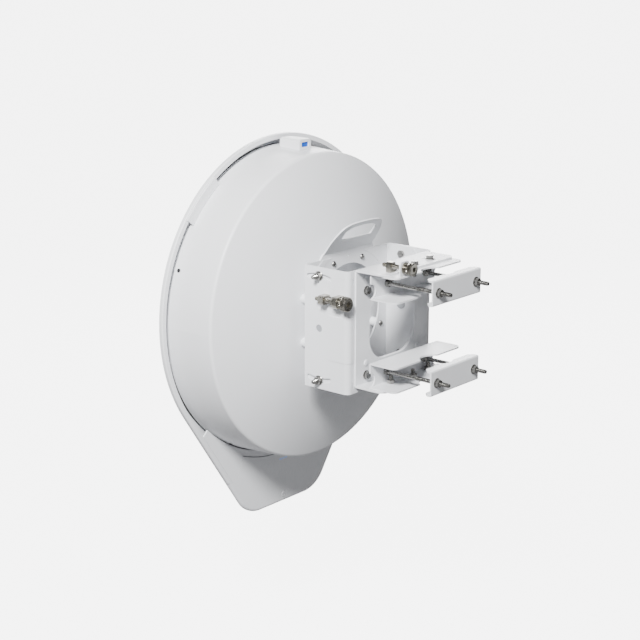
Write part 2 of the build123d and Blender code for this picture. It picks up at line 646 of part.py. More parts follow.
shell = about_axis(shell_section(0))
fold_edges = [e for e in shell.edges().filter_by(GeomType.CIRCLE) if abs(e.center().Y - fold_y) < 1]
shell = fillet(fold_edges, fold_round)
shell -= about_axis(shell_section(shell_wall))
dome_solid = about_axis(shell_section(0))
spacers = []
for x, z in hub_spots:
    spacer = ring((x, plate_front_y, z), (0, -1, 0), 22.0, hub_boss_radius, 3.0)
    spacers.append(spacer - dome_solid)
    shell -= rod((x, plate_front_y + 1, z), (0, -1, 0), 24.0, 3.0)
keep("hub_spacers", *spacers)
skirt_gap = 0.4
skirt_radius = drum_radius(rim_plane_y + skirt_overlap) - shell_wall - skirt_gap
rim_spots = [turn for deg in rim_screw_angles for turn in (radians(deg), radians(180 - deg))]
rim_screw_y = rim_plane_y + 4.5
rim_screws = []
for turn in rim_spots:
    outward = (cos(turn), 0, sin(turn))
    surface = drum_radius(rim_screw_y)
    at = (surface * cos(turn), rim_screw_y, dish_z + surface * sin(turn))
    screw = rod(at, outward, 2.2, 3.6)
    screw = fillet(screw.edges().filter_by(GeomType.CIRCLE).sort_by(
        lambda e, o=outward: e.center().X * o[0] + e.center().Z * o[2])[-1], 1.0)
    screw += rod(at, (-outward[0], 0, -outward[2]), 7.5, 1.8)
    rim_screws.append(screw)
    shell -= rod(at, (-outward[0], 0, -outward[2]), shell_wall + 0.2, 1.8)
    shell -= rod(at, outward, 2.2, 3.6)
keep("dish_shell", shell)
keep("rim_screws", *rim_screws)


# ---- Radome: front cover with a teardrop outline ---------------------------
def teardrop(inset):
    """The rim circle run into a blunt tail, drawn that much inside the outline."""
    radius = rim_radius - inset
    turn = radians(tail_tangent_deg)
    start_x, start_z = radius * cos(turn), -radius * sin(turn)
    end_z = -tail_drop + inset
    end_x = start_x - (start_z - end_z) * tan(turn)
    tail = make_face(Polyline((start_x, start_z), (end_x, end_z), (-end_x, end_z),
                              (-start_x, start_z), close=True))
    corners = tail.vertices().sort_by(Axis.Y)[:2]
    tail = fillet(corners, tail_corner - inset)
    return Circle(radius) + tail


def bulge(inset):
    """Shallow cap on the front of the radome."""
    base_y = front_y + inset
    edge = bulge_radius
    cap = (edge ** 2 + bulge_rise ** 2) / (2 * bulge_rise)
    middle_y = base_y - bulge_rise + cap - sqrt(cap ** 2 - (edge / 2) ** 2)
    arc = ThreePointArc((0, base_y - bulge_rise), (edge / 2, middle_y), (edge, base_y))
    lines = Polyline((edge, base_y), (edge, base_y + 1.0), (0, base_y + 1.0), (0, base_y - bulge_rise))
    return about_axis(make_face([arc, lines]))


rim_front_y = rim_plane_y - rim_wall_depth
front_y = rim_front_y - front_depth
skin_inner_y = front_y + radome_wall
outer = extrude(front_plane(rim_plane_y) * teardrop(0), amount=rim_wall_depth)
rear_edges = outer.faces().sort_by(Axis.Y)[-1].edges()
outer = fillet(rear_edges, rim_edge_round)
outer += loft([front_plane(rim_front_y) * teardrop(0), front_plane(front_y) * teardrop(front_inset)],
              ruled=True)
outer += bulge(0)
cavity = extrude(front_plane(rim_plane_y - radome_wall) * teardrop(radome_wall),
                 amount=rim_wall_depth - radome_wall)
cavity += loft([front_plane(rim_front_y) * teardrop(radome_wall),
                front_plane(skin_inner_y) * teardrop(front_inset)], ruled=True)
cavity += extrude(front_plane(rim_plane_y + 1) * teardrop(radome_lip), amount=radome_wall + 2)
cavity += bulge(radome_wall)
radome = outer - cavity
skirt = extrude(front_plane(rim_plane_y + skirt_overlap) * (Circle(skirt_radius) - Circle(skirt_radius - 2.5)),
                amount=rim_plane_y + skirt_overlap - skin_inner_y)
radome += skirt
# The port cover forms the rear of the lower end, so the radome stops short of it.
below_seam = block(-rim_radius, rim_radius, rim_front_y, rim_plane_y + 1, dish_z - tail_drop - 1,
                   dish_z + cover_side_z + seam)
radome -= below_seam
# A fork that the latch's shank drops into; it is open downwards.
boss_start = rim_plane_y - panel_wall - gap
fork = rod((0, boss_start, dish_z + latch_z), (0, -1, 0), fork_depth, latch_radius + 3.0)
fork -= rod((0, boss_start + 1, dish_z + latch_z), (0, -1, 0), fork_depth - 2.0, fork_half_gap)
fork -= block(-fork_half_gap, fork_half_gap, boss_start - fork_depth + 3.0, boss_start + 1,
              dish_z + latch_z - 12.0, dish_z + latch_z)
radome += fork & outer
for turn in rim_spots:
    outward = (cos(turn), 0, sin(turn))
    reach = skirt_radius + 1
    at = (reach * cos(turn), rim_screw_y, dish_z + reach * sin(turn))
    radome -= rod(at, (-outward[0], 0, -outward[2]), 6.0, 1.8)
grommet_y = (front_y + 3.0, rim_front_y - 2.0)
bottom_z = dish_z - tail_drop
grommet_hole = block(-grommet_half, grommet_half, *grommet_y, bottom_z - 1, bottom_z + front_inset + 4.0)
grommet = radome & grommet_hole
radome -= grommet_hole
keep("radome", radome)
for side in (-1, 1):
    grommet -= rod((side * 6.0, sum(grommet_y) / 2, bottom_z - 1), (0, 0, 1), 30.0, 2.6)
keep("cable_grommet", grommet)

gasket_radius = drum_radius(drum_front_y)
gasket = extrude(front_plane(drum_front_y) * (Circle(gasket_radius) - Circle(gasket_radius - shell_wall)),
                 amount=drum_front_y - skin_inner_y)
keep("radome_gasket", gasket)


def sector(inner, outer, start_deg, span_deg):
    """A stretch of a flat ring."""
    def polar(radius, deg):
        return radius * cos(radians(deg)), radius * sin(radians(deg))
    end_deg = start_deg + span_deg
    return make_face([CenterArc((0, 0), outer, start_deg, span_deg),
                      CenterArc((0, 0), inner, start_deg, span_deg),
                      Line(polar(inner, start_deg), polar(outer, start_deg)),
                      Line(polar(inner, end_deg), polar(outer, end_deg))])


# Raised clips that bridge the open groove between the rim and the drum
clip_inner = drum_radius(rim_plane_y) + seam
clip_outer = rim_radius - radome_wall
clip_span = clip_end_deg - clip_start_deg
for name, start in (("radome_clip_right", clip_start_deg), ("radome_clip_left", 180 - clip_end_deg)):
    clip = extrude(front_plane(rim_plane_y) * sector(clip_inner, clip_outer, start, clip_span), amount=-3.0)
    keep(name, clip)

# ---- Sight housing on top of the drum --------------------------------------
sight = block(-sight_half_width, sight_half_width, sight_front_y, sight_rear_y,
              dish_z + drum_radius_fold - 6.0, dish_z + sight_height)
sight = fillet(sight.edges().filter_by(Axis.Y).sort_by(Axis.Z)[-2:], 6.0)
sight = fillet(sight.faces().sort_by(Axis.Y)[-1].edges().sort_by(Axis.Z)[1:], 1.2)
window_width, window_height = sight_window
sight_axis = Plane(origin=(0, sight_front_y - 1, dish_z + sight_window_height), x_dir=(1, 0, 0), z_dir=(0, 1, 0))
sight -= extrude(sight_axis * RectangleRounded(window_width, window_height, 2.0),
                 amount=sight_rear_y - sight_front_y + 2)
margin = 5.0
sight -= Pos(0, 0, dish_z) * revolve(make_face(Polyline(
    (0, sight_front_y - margin), (drum_radius(sight_front_y - margin) + seam / 2, sight_front_y - margin),
    (drum_radius(sight_rear_y + margin) + seam / 2, sight_rear_y + margin), (0, sight_rear_y + margin),
    close=True)), Axis.Y, 360)
keep("sight_housing", sight)
lens_profile = RectangleRounded(window_width - 0.2, window_height - 0.2, 1.9)
for name, y in (("rear", sight_rear_y - 4.5), ("front", sight_front_y + 2.0)):
    seat = Plane(origin=(0, y, dish_z + sight_window_height), x_dir=(1, 0, 0), z_dir=(0, 1, 0))
    keep("sight_lens_" + name, extrude(seat * lens_profile, amount=2.5))

# ---- Tail panel and the port cover that slides down off the ports ----------
panel_y = rim_plane_y
turn = radians(tail_start_deg)
far = 700.0
below = make_face(Polyline((0, 0), (far * cos(turn), -far * sin(turn)), (far * cos(turn), -far),
                           (-far * cos(turn), -far), (-far * cos(turn), -far * sin(turn)), close=True))


def cover_region(grow):
    """Outline of the port cover's side seams, grown by the given amount."""
    return make_face(Polyline((cover_top_x - 12.0 + grow, cover_top_z + 32.0),
                              (cover_top_x + grow, cover_top_z),
                              (cover_side_x + grow, cover_side_z),
                              (far, cover_side_z - 0.3 + grow), (far, -far), (-far, -far),
                              (-far, cover_side_z - 0.3 + grow), (-cover_side_x - grow, cover_side_z),
                              (-cover_top_x - grow, cover_top_z),
                              (-cover_top_x + 12.0 - grow, cover_top_z + 32.0), close=True))


tail_field = teardrop(radome_lip + gap) & below
panel = tail_field - Circle(drum_radius(rim_plane_y) + drum_gap)
panel -= cover_region(seam) - Circle(band_radius)
panel = extrude(front_plane(panel_y) * panel, amount=panel_wall)
keep("tail_panel", panel)

# The cover is the whole rear of the lower end: a face with a wall around it.
cover_outline = (teardrop(0) - Circle(band_radius + cover_gap)) & cover_region(0)
end_region = make_face(Polyline((-far, cover_side_z), (far, cover_side_z), (far, -far), (-far, -far), close=True))
wall_depth = rim_wall_depth - gap
cover = extrude(front_plane(panel_y) * (teardrop(0) & end_region), amount=wall_depth)
outer_rear = [e for e in cover.faces().sort_by(Axis.Y)[-1].edges() if e.center().Z < dish_z + cover_side_z - 1]
cover = fillet(outer_rear, cover_edge_round)
cover -= extrude(front_plane(panel_y - panel_wall) * (teardrop(radome_wall)), amount=wall_depth)
cover += extrude(front_plane(panel_y) * (cover_outline - end_region), amount=panel_wall)
cover -= rod((0, panel_y + 1, dish_z + latch_z), (0, -1, 0), 2.2, latch_radius + 0.4)
cover -= rod((0, panel_y + 1, dish_z + latch_z), (0, -1, 0), 2 * panel_wall, 2.5 + running_fit)
lens_spots = [(i - 1.5) * lens_pitch for i in range(4)]
lenses = []
for x in lens_spots:
    cover -= rod((x, panel_y + 1, dish_z + lens_z), (0, -1, 0), 2 * panel_wall, lens_radius)
    lenses.append(rod((x, panel_y + 0.3, dish_z + lens_z), (0, -1, 0), panel_wall + 0.3, lens_radius))
keep("port_cover", cover)
keep("status_lenses", *lenses)

latch = rod((0, panel_y - 1.0, dish_z + latch_z), (0, 1, 0), 2.0, latch_radius)
latch = chamfer(latch.edges().sort_by(Axis.Y)[-1], 0.6)
latch -= block(-4.5, 4.5, panel_y - 0.2, panel_y + 2.0, dish_z + latch_z - 0.7, dish_z + latch_z + 0.7)
latch += rod((0, panel_y - 1.0, dish_z + latch_z), (0, -1, 0), 6.0, 2.5)
keep("cover_latch", latch)

# ---- Board and ports in the tail -------------------------------------------
board = extrude(front_plane(board_y + board_thickness) * Pos(0, (board_top_z + board_bottom_z) / 2)
                * RectangleRounded(2 * board_half_width, board_top_z - board_bottom_z, 4.0),
                amount=board_thickness)
board_face = board_y + board_thickness
standoffs = []
for x in (-board_half_width + 8, board_half_width - 8):
    for z in (board_top_z - 8, board_bottom_z + 8):
        spot = (x, skin_inner_y, dish_z + z)
        standoffs.append(rod(spot, (0, 1, 0), board_y - skin_inner_y, 3.5))
        board -= rod((x, board_y - 1, dish_z + z), (0, 1, 0), 4.0, 1.6)
        standoffs[-1] += rod(spot, (0, 1, 0), board_y - skin_inner_y + board_thickness, 1.6)
keep("main_board", board)
keep("board_standoffs", *standoffs)

port_height = 11.6
ethernet = block(-58.0, -42.0, board_face, board_face + port_height, dish_z - 378.0, dish_z - 357.0)
ethernet -= block(-56.0, -44.0, board_face + 2.0, board_face + 9.5, dish_z - 379.0, dish_z - 363.0)
keep("ethernet_port", ethernet)
fibre = block(22.0, 36.5, board_face, board_face + 9.8, dish_z - 380.0, dish_z - 334.0)
fibre -= block(23.0, 35.5, board_face + 1.0, board_face + 8.8, dish_z - 381.0, dish_z - 336.0)
keep("fibre_port", fibre)
shield = block(-30.0, 14.0, board_face, board_face + 5.0, dish_z - 356.0, dish_z - 328.0)
shield = fillet(shield.edges().sort_by(Axis.Y)[-4:], 1.0)
shield -= block(-29.4, 13.4, board_face, board_face + 4.4, dish_z - 355.4, dish_z - 328.6)
keep("board_shield", shield)

# ---- Reflector and feed ----------------------------------------------------
reflector_depth = reflector_apex_y - reflector_rim_y


def bowl_y(radius, wall=0.0):
    return reflector_apex_y - wall - reflector_depth * (radius / reflector_rim_radius) ** 2


def bowl_curve(wall):
    spots = [reflector_rim_radius * i / 8 for i in range(9)]
    return Spline([(r, bowl_y(r, wall)) for r in spots])


back = bowl_curve(0.0)
face = bowl_curve(reflector_wall)
section = make_face([back, face, Line((0, bowl_y(0)), (0, bowl_y(0, reflector_wall))),
                     Line((reflector_rim_radius, bowl_y(reflector_rim_radius)),
                          (reflector_rim_radius, bowl_y(reflector_rim_radius, reflector_wall)))])
reflector = about_axis(section)
reflector -= rod((0, reflector_apex_y - 10, dish_z), (0, 1, 0), 20.0, feed_radius)
keep("reflector", reflector)

module_y = (reflector_apex_y + 0.6, reflector_apex_y + 20.0)
module = block(-58.0, 58.0, module_y[0], module_y[1], dish_z - 58.0, dish_z + 58.0)
module = fillet(module.edges().filter_by(Axis.Y), 8.0)
keep("radio_module", module)
feed = ring((0, module_y[0], dish_z), (0, -1, 0), module_y[0] - feed_end_y, feed_radius, feed_radius - 2.0)
keep("feed_tube", feed)
cap = rod((0, feed_end_y, dish_z), (0, -1, 0), 4.0, subreflector_radius)
cap = chamfer(cap.edges().sort_by(Axis.Y)[-1], 2.5)
keep("subreflector", cap)

for name, shape in parts.items():
    export_step(shape, f"parts/{name}.step")
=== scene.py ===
"""Outdoor wireless bridge: fasteners, adjusting screws, finishes and stage built round the packed frame."""

import json
import math

import bpy
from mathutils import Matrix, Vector


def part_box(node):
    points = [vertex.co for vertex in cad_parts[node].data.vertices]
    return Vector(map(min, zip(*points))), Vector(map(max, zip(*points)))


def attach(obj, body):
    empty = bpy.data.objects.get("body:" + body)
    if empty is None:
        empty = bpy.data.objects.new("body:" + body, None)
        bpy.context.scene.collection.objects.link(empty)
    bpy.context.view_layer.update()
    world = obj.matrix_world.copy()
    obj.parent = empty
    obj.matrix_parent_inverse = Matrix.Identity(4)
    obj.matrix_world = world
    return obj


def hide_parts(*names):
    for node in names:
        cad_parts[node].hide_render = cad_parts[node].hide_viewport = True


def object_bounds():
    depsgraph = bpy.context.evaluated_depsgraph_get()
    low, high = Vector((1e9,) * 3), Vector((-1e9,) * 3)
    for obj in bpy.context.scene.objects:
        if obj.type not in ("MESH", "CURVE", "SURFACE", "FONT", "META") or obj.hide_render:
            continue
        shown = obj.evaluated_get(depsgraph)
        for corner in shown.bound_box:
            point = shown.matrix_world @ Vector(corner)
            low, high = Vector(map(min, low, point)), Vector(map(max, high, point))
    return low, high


bl_info = {
    "name": "Outdoor Wireless Bridge",
    "version": (1, 0, 0),
    "blender": (4, 5, 0),
    "location": "View3D > Sidebar > Wireless Bridge",
    "description": "Builds the fasteners, adjusting screws, finishes and stage of a pole-mounted wireless bridge",
    "category": "Object",
}

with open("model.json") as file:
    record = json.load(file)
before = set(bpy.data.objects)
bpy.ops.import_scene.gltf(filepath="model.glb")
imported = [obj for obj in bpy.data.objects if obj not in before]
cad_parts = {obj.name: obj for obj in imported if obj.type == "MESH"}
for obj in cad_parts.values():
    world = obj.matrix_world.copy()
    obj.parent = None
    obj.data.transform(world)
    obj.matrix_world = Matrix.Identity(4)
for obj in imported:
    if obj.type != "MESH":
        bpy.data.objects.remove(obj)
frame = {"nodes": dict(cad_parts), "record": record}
CAD_BOX = [list(corner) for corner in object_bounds()]
MM = 0.001
UP = Vector((0, 0, 1))
CAMERA_PLACE = Vector((2.1809, 1.5925, 0.7308))
CAMERA_BACK = Vector((0.7335, 0.6292, 0.2571))
KEY_FROM = Vector((2.3, 1.1, 2.1))
FAR_SIDE_FROM = Vector((-2.3, -2.0, 1.4))
FLOOR_REACH = 7.0
FLOOR_SWEEP = 4.0


# ---- Sizes and colours a user would change ---------------------------------
def length(name, description, default):
    """A length property in metres, given here in millimetres."""
    return bpy.props.FloatProperty(name=name, description=description, default=default * MM,
                                   min=0.0, precision=5, subtype="DISTANCE", unit="LENGTH")


def colour(name, description, default):
    return bpy.props.FloatVectorProperty(name=name, description=description, default=default,
                                         size=3, min=0.0, max=1.0, subtype="COLOR")


class BridgeFastenerSizes(bpy.types.PropertyGroup):
    """Sizes shared by the bolts, nuts and washers."""
    thread_radius: length("Thread radius", "Outer radius of the 8 mm threads", 4.0)
    thread_pitch: length("Thread pitch", "Rise of the thread in one turn", 1.25)
    thread_depth: length("Thread depth", "From the crest to the root of the thread", 0.55)
    flats: length("Across flats", "Width of the hexagons across their flats", 13.0)
    nut_height: length("Nut height", "Height of a plain hexagon nut", 6.5)
    head_height: length("Head height", "Height of a hexagon bolt head", 5.3)
    washer_radius: length("Washer radius", "Outer radius of a plain washer", 8.5)
    washer_thickness: length("Washer thickness", "Thickness of a plain washer", 1.6)
    edge: length("Broken edge", "Width of the small bevel on machined edges", 0.35)


class BridgeKnobSizes(bpy.types.PropertyGroup):
    """Sizes of the knurled heads on the two adjusting screws."""
    elevation_head_radius: length("Elevation head radius", "Radius over the knurl", 13.4)
    elevation_head_length: length("Elevation head length", "Length of the knurled head", 12.0)
    elevation_collar_flats: length("Elevation collar flats", "Hexagon behind the screw stand", 16.0)
    azimuth_head_radius: length("Azimuth head radius", "Radius over the knurl", 11.4)
    azimuth_head_length: length("Azimuth head length", "Length of the knurled head", 11.0)
    knurl_depth: length("Knurl depth", "Depth of the grip grooves", 0.7)
    knurl_count: bpy.props.IntProperty(name="Knurl count", description="Grooves round a head",
                                       default=36, min=12, max=72)


class BridgeColours(bpy.types.PropertyGroup):
    """Colours of the finishes."""
    powder_coat: colour("Powder coat", "White coat on the bracket sheets", (0.72, 0.73, 0.75))
    shell: colour("Dish shell", "Moulded back of the dish", (0.77, 0.78, 0.80))
    radome: colour("Radome", "Moulded front cover and tail", (0.78, 0.79, 0.81))
    stainless: colour("Stainless steel", "Bolts and nuts", (0.34, 0.335, 0.32))
    plated: colour("Plated steel", "Adjusting screws and their nuts", (0.46, 0.44, 0.39))
    black_steel: colour("Blackened steel", "Small screws in the rim groove", (0.03, 0.03, 0.032))
    pin: colour("Pivot pin", "Ends of the tilt pivot pins", (0.30, 0.31, 0.33))
    rubber: colour("Rubber", "Seals and the cable grommet", (0.025, 0.025, 0.028))
    lens: colour("Sight lens", "Coated lens of the aiming sight", (0.015, 0.075, 0.36))
    light: colour("Status light", "Light guides in the port cover", (0.30, 0.46, 0.95))


class BridgeStage(bpy.types.PropertyGroup):
    """Floor, lights and camera."""
    floor_drop: bpy.props.FloatProperty(name="Floor drop", description="Floor level below the object",
                                        default=0.30, min=0.0, subtype="DISTANCE", unit="LENGTH")
    floor_colour: colour("Floor", "Pale studio floor", (0.18, 0.18, 0.185))
    floor_glow: bpy.props.FloatProperty(name="Floor glow", description="Brightness the paper shows the camera",
                                        default=6.0, min=0.0)
    key_power: bpy.props.FloatProperty(name="Key light", description="Power of the large key light",
                                       default=340.0, min=0.0, unit="POWER")
    key_size: bpy.props.FloatProperty(name="Key size", description="Diameter of the key light",
                                      default=0.7, min=0.1, subtype="DISTANCE", unit="LENGTH")
    fill_power: bpy.props.FloatProperty(name="Fill light", description="Power of the fill light",
                                        default=9.0, min=0.0, unit="POWER")
    far_power: bpy.props.FloatProperty(name="Far light", description="Power of the light on the dish's front",
                                       default=130.0, min=0.0, unit="POWER")
    sky: bpy.props.FloatProperty(name="Sky", description="Strength of the even white surroundings",
                                 default=0.05, min=0.0)
    lens_length: bpy.props.FloatProperty(name="Camera lens", description="Focal length on a 36 mm sensor",
                                         default=86.7, min=10.0, unit="CAMERA")


# ---- Reading the frame -----------------------------------------------------
def solids(node):
    """(lowest corner, highest corner) of each separate solid in a CAD node."""
    mesh = frame["nodes"][node].data
    owner = {}

    def root(key):
        while owner[key] != key:
            owner[key] = owner[owner[key]]
            key = owner[key]
        return key

    keys = [tuple(round(c, 6) for c in v.co) for v in mesh.vertices]
    for key in keys:
        owner.setdefault(key, key)
    for face in mesh.polygons:
        first = root(keys[face.vertices[0]])
        for index in face.vertices[1:]:
            owner[root(keys[index])] = first
    groups = {}
    for key in owner:
        groups.setdefault(root(key), []).append(key)
    boxes = [tuple(Vector(pick(c) for c in zip(*g)) for pick in (min, max)) for g in groups.values()]
    return sorted(boxes, key=lambda box: tuple(round(c, 4) for c in box[0]))


def middle(box):
    return (box[0] + box[1]) / 2


def side_of(value):
    return 1.0 if value > 0 else -1.0


# ---- Modelling steps -------------------------------------------------------
def only(obj):
    """Select one object and make it active."""
    bpy.ops.object.select_all(action="DESELECT")
    obj.select_set(True)
    bpy.context.view_layer.objects.active = obj
    return obj


def apply(obj, kind, **settings):
    """Add a modifier with these settings and apply it."""
    only(obj)
    modifier = obj.modifiers.new(kind.title(), kind)
    for key, value in settings.items():
        setattr(modifier, key, value)
    bpy.ops.object.modifier_apply(modifier=modifier.name)
    return obj


def turned(profile, sides=48):
    """A turned part about Z: a disc drawn out through the (height, radius) steps of its profile."""
    height, radius = profile[0]
    bpy.ops.object.select_all(action="DESELECT")
    bpy.ops.mesh.primitive_circle_add(vertices=sides, radius=radius, fill_type="NGON", location=(0, 0, 0))
    obj = bpy.context.object
    bpy.ops.object.mode_set(mode="EDIT")
    bpy.ops.mesh.select_all(action="SELECT")
    bpy.ops.transform.translate(value=(0, 0, height))
    for next_height, next_radius in profile[1:]:
        bpy.ops.mesh.extrude_region_move(TRANSFORM_OT_translate={"value": (0, 0, next_height - height)})
        grow = next_radius / radius
        if abs(grow - 1) > 1e-6:
            bpy.ops.transform.resize(value=(grow, grow, 1), center_override=(0, 0, next_height))
        height, radius = next_height, next_radius
    bpy.ops.mesh.select_all(action="SELECT")
    bpy.ops.mesh.normals_make_consistent(inside=False)
    bpy.ops.object.mode_set(mode="OBJECT")
    return obj


def cut(obj, tool, operation="DIFFERENCE"):
    """Combine obj with a tool shape, which is used up."""
    apply(obj, "BOOLEAN", operation=operation, object=tool, solver="EXACT")
    bpy.data.objects.remove(tool)
    return obj


def joined(pieces):
    """Join pieces into the first one."""
    bpy.ops.object.select_all(action="DESELECT")
    for piece in pieces:
        piece.select_set(True)
    bpy.context.view_layer.objects.active = pieces[0]
    if len(pieces) > 1:
        bpy.ops.object.join()
    return bpy.context.object


def placed(pattern, at, direction):
    """A copy of a pattern made along Z, moved to a place and turned to a direction."""
    only(pattern)
    bpy.ops.object.duplicate()
    obj = bpy.context.object
    obj.rotation_mode = "QUATERNION"
    obj.rotation_quaternion = UP.rotation_difference(Vector(direction))
    obj.location = at
    bpy.ops.object.transform_apply(location=True, rotation=True, scale=True)
    return obj


def thread(start, end, radius, sizes):
    """A threaded length of rod about Z: a core with one ridge wound round it."""
    root = radius - sizes.thread_depth
    chamfer = sizes.thread_depth
    core = turned([(start, root - chamfer), (start + chamfer, root),
                   (end - chamfer, root), (end, root - chamfer)], 24)
    bpy.ops.object.select_all(action="DESELECT")
    bpy.ops.mesh.primitive_circle_add(vertices=3, radius=sizes.thread_depth, location=(0, 0, 0))
    ridge = bpy.context.object
    crest = (radius, 0.0)
    flank = sizes.thread_pitch * 0.46
    inner = root - 0.1 * MM
    low = start + chamfer + flank
    for vertex, (x, z) in zip(ridge.data.vertices, (crest, (inner, -flank), (inner, flank))):
        vertex.co = (x, 0, low + z)
    turns = max(1, int((end - start - 2 * chamfer - 2 * flank) / sizes.thread_pitch))
    apply(ridge, "SCREW", axis="Z", angle=2 * math.pi, screw_offset=sizes.thread_pitch, iterations=turns,
          steps=20, render_steps=20, use_smooth_shade=False)
    bpy.ops.object.mode_set(mode="EDIT")
    bpy.ops.mesh.select_all(action="SELECT")
    bpy.ops.mesh.fill_holes(sides=3)
    bpy.ops.mesh.select_all(action="SELECT")
    bpy.ops.mesh.normals_make_consistent(inside=False)
    bpy.ops.object.mode_set(mode="OBJECT")
    return joined([core, ridge])


def hexagon(height, sizes, bore=0.0, flats=None):
    """A hexagon with its corners turned off, and a countersunk bore if one is given."""
    across = flats or sizes.flats
    corner = across / math.sqrt(3)
    body = turned([(0, corner), (height, corner)], 6)
    drop = (corner - across / 2) * 0.62
    barrel = turned([(0, across / 2 * 0.985), (drop, corner * 1.001), (height - drop, corner * 1.001),
                     (height, across / 2 * 0.985)], 48)
    cut(body, barrel, "INTERSECT")
    if bore:
        sink = 0.6 * MM
        cut(body, turned([(-sink, bore + 2 * sink), (sink, bore), (height - sink, bore),
                          (height + sink, bore + 2 * sink)], 32))
    return body


def washer(radius, thickness, sizes):
    """A flat washer with its outer edges broken."""
    edge = sizes.edge
    return turned([(0, radius - edge), (edge, radius), (thickness - edge, radius), (thickness, radius - edge)], 48)


def smooth(obj, degrees=32.0):
    only(obj)
    bpy.ops.object.shade_smooth_by_angle(angle=math.radians(degrees))
    return obj


def finished(pieces, name, node, body, slot):
    """Join the pieces, name them and tie them to the frame in place of a CAD node."""
    obj = smooth(joined(pieces))
    obj.name = name
    obj.data.name = name
    obj.data.materials.clear()
    obj.data.materials.append(bpy.data.materials[slot])
    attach(obj, body)
    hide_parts(node)
    return obj


def discard(*patterns):
    for pattern in patterns:
        bpy.data.objects.remove(pattern)


# ---- Material building blocks ----------------------------------------------
def maths(tree, operation, first, second=0.0):
    """The result socket of a Math node."""
    node = tree.nodes.new("ShaderNodeMath")
    node.operation = operation
    for socket, value in zip(node.inputs, (first, second)):
        if isinstance(value, bpy.types.NodeSocket):
            tree.links.new(value, socket)
        else:
            socket.default_value = value
    return node.outputs[0]


def mixed(tree, amount, first, second):
    """Blend two colours by a mask."""
    node = tree.nodes.new("ShaderNodeMix")
    node.data_type = "RGBA"
    for index, value in ((0, amount), (6, first), (7, second)):
        if isinstance(value, bpy.types.NodeSocket):
            tree.links.new(value, node.inputs[index])
        else:
            node.inputs[index].default_value = value
    return node.outputs[2]


def group(name, inputs, outputs):
    """An empty shader node group with named sockets."""
    tree = bpy.data.node_groups.new(name, "ShaderNodeTree")
    for label, kind, default in inputs:
        socket = tree.interface.new_socket(name=label, in_out="INPUT", socket_type="NodeSocket" + kind)
        socket.default_value = default
    for label, kind in outputs:
        tree.interface.new_socket(name=label, in_out="OUTPUT", socket_type="NodeSocket" + kind)
    return tree, tree.nodes.new("NodeGroupInput").outputs, tree.nodes.new("NodeGroupOutput").inputs


def noise_at(tree, size, stretch=None, detail=3.0, rough=0.55):
    """Noise whose features measure about size, on the piece's own coordinates."""
    where = tree.nodes.new("ShaderNodeTexCoord").outputs["Object"]
    if stretch is not None:
        scaled = tree.nodes.new("ShaderNodeVectorMath")
        scaled.operation = "MULTIPLY"
        tree.links.new(where, scaled.inputs[0])
        tree.links.new(stretch, scaled.inputs[1])
        where = scaled.outputs[0]
    node = tree.nodes.new("ShaderNodeTexNoise")
    node.inputs["Detail"].default_value = detail
    node.inputs["Roughness"].default_value = rough
    tree.links.new(where, node.inputs["Vector"])
    tree.links.new(maths(tree, "DIVIDE", 1.0, size), node.inputs["Scale"])
    return node.outputs["Fac"]


def ranged(tree, value, low, high, to_low=0.0, to_high=1.0):
    """Map a value from one range to another, held at the ends."""
    node = tree.nodes.new("ShaderNodeMapRange")
    for key, item in (("Value", value), ("From Min", low), ("From Max", high),
                      ("To Min", to_low), ("To Max", to_high)):
        if isinstance(item, bpy.types.NodeSocket):
            tree.links.new(item, node.inputs[key])
        else:
            node.inputs[key].default_value = item
    return node.outputs["Result"]


def drift_group():
    """Slow change of colour and gloss over a surface."""
    tree, given, out = group(
        "Surface Drift",
        [("Colour", "Color", (0.8, 0.8, 0.8, 1)), ("Aged Colour", "Color", (0.7, 0.7, 0.7, 1)),
         ("Patch Size", "Float", 0.08), ("Amount", "Float", 0.3), ("Gloss Low", "Float", 0.35),
         ("Gloss High", "Float", 0.5)],
        [("Colour", "Color"), ("Roughness", "Float")])
    patch = ranged(tree, noise_at(tree, given["Patch Size"]), 0.35, 0.68)
    fine = noise_at(tree, maths(tree, "MULTIPLY", given["Patch Size"], 0.13))
    blend = maths(tree, "MULTIPLY", patch, given["Amount"])
    tree.links.new(mixed(tree, blend, given["Colour"], given["Aged Colour"]), out["Colour"])
    tree.links.new(ranged(tree, fine, 0.3, 0.7, given["Gloss Low"], given["Gloss High"]), out["Roughness"])
    return tree


def relief_group():
    """Fine moulded, sprayed or brushed relief as a height."""
    tree, given, out = group(
        "Fine Relief",
        [("Grain Size", "Float", 0.0006), ("Wave Size", "Float", 0.004), ("Wave Share", "Float", 0.4),
         ("Stretch", "Vector", (1, 1, 1))],
        [("Height", "Float")])
    grain = noise_at(tree, given["Grain Size"], given["Stretch"], detail=2.0)
    wave = noise_at(tree, given["Wave Size"], given["Stretch"], detail=1.0)
    heavy = maths(tree, "MULTIPLY", wave, given["Wave Share"])
    tree.links.new(maths(tree, "ADD", grain, heavy), out["Height"])
    return tree


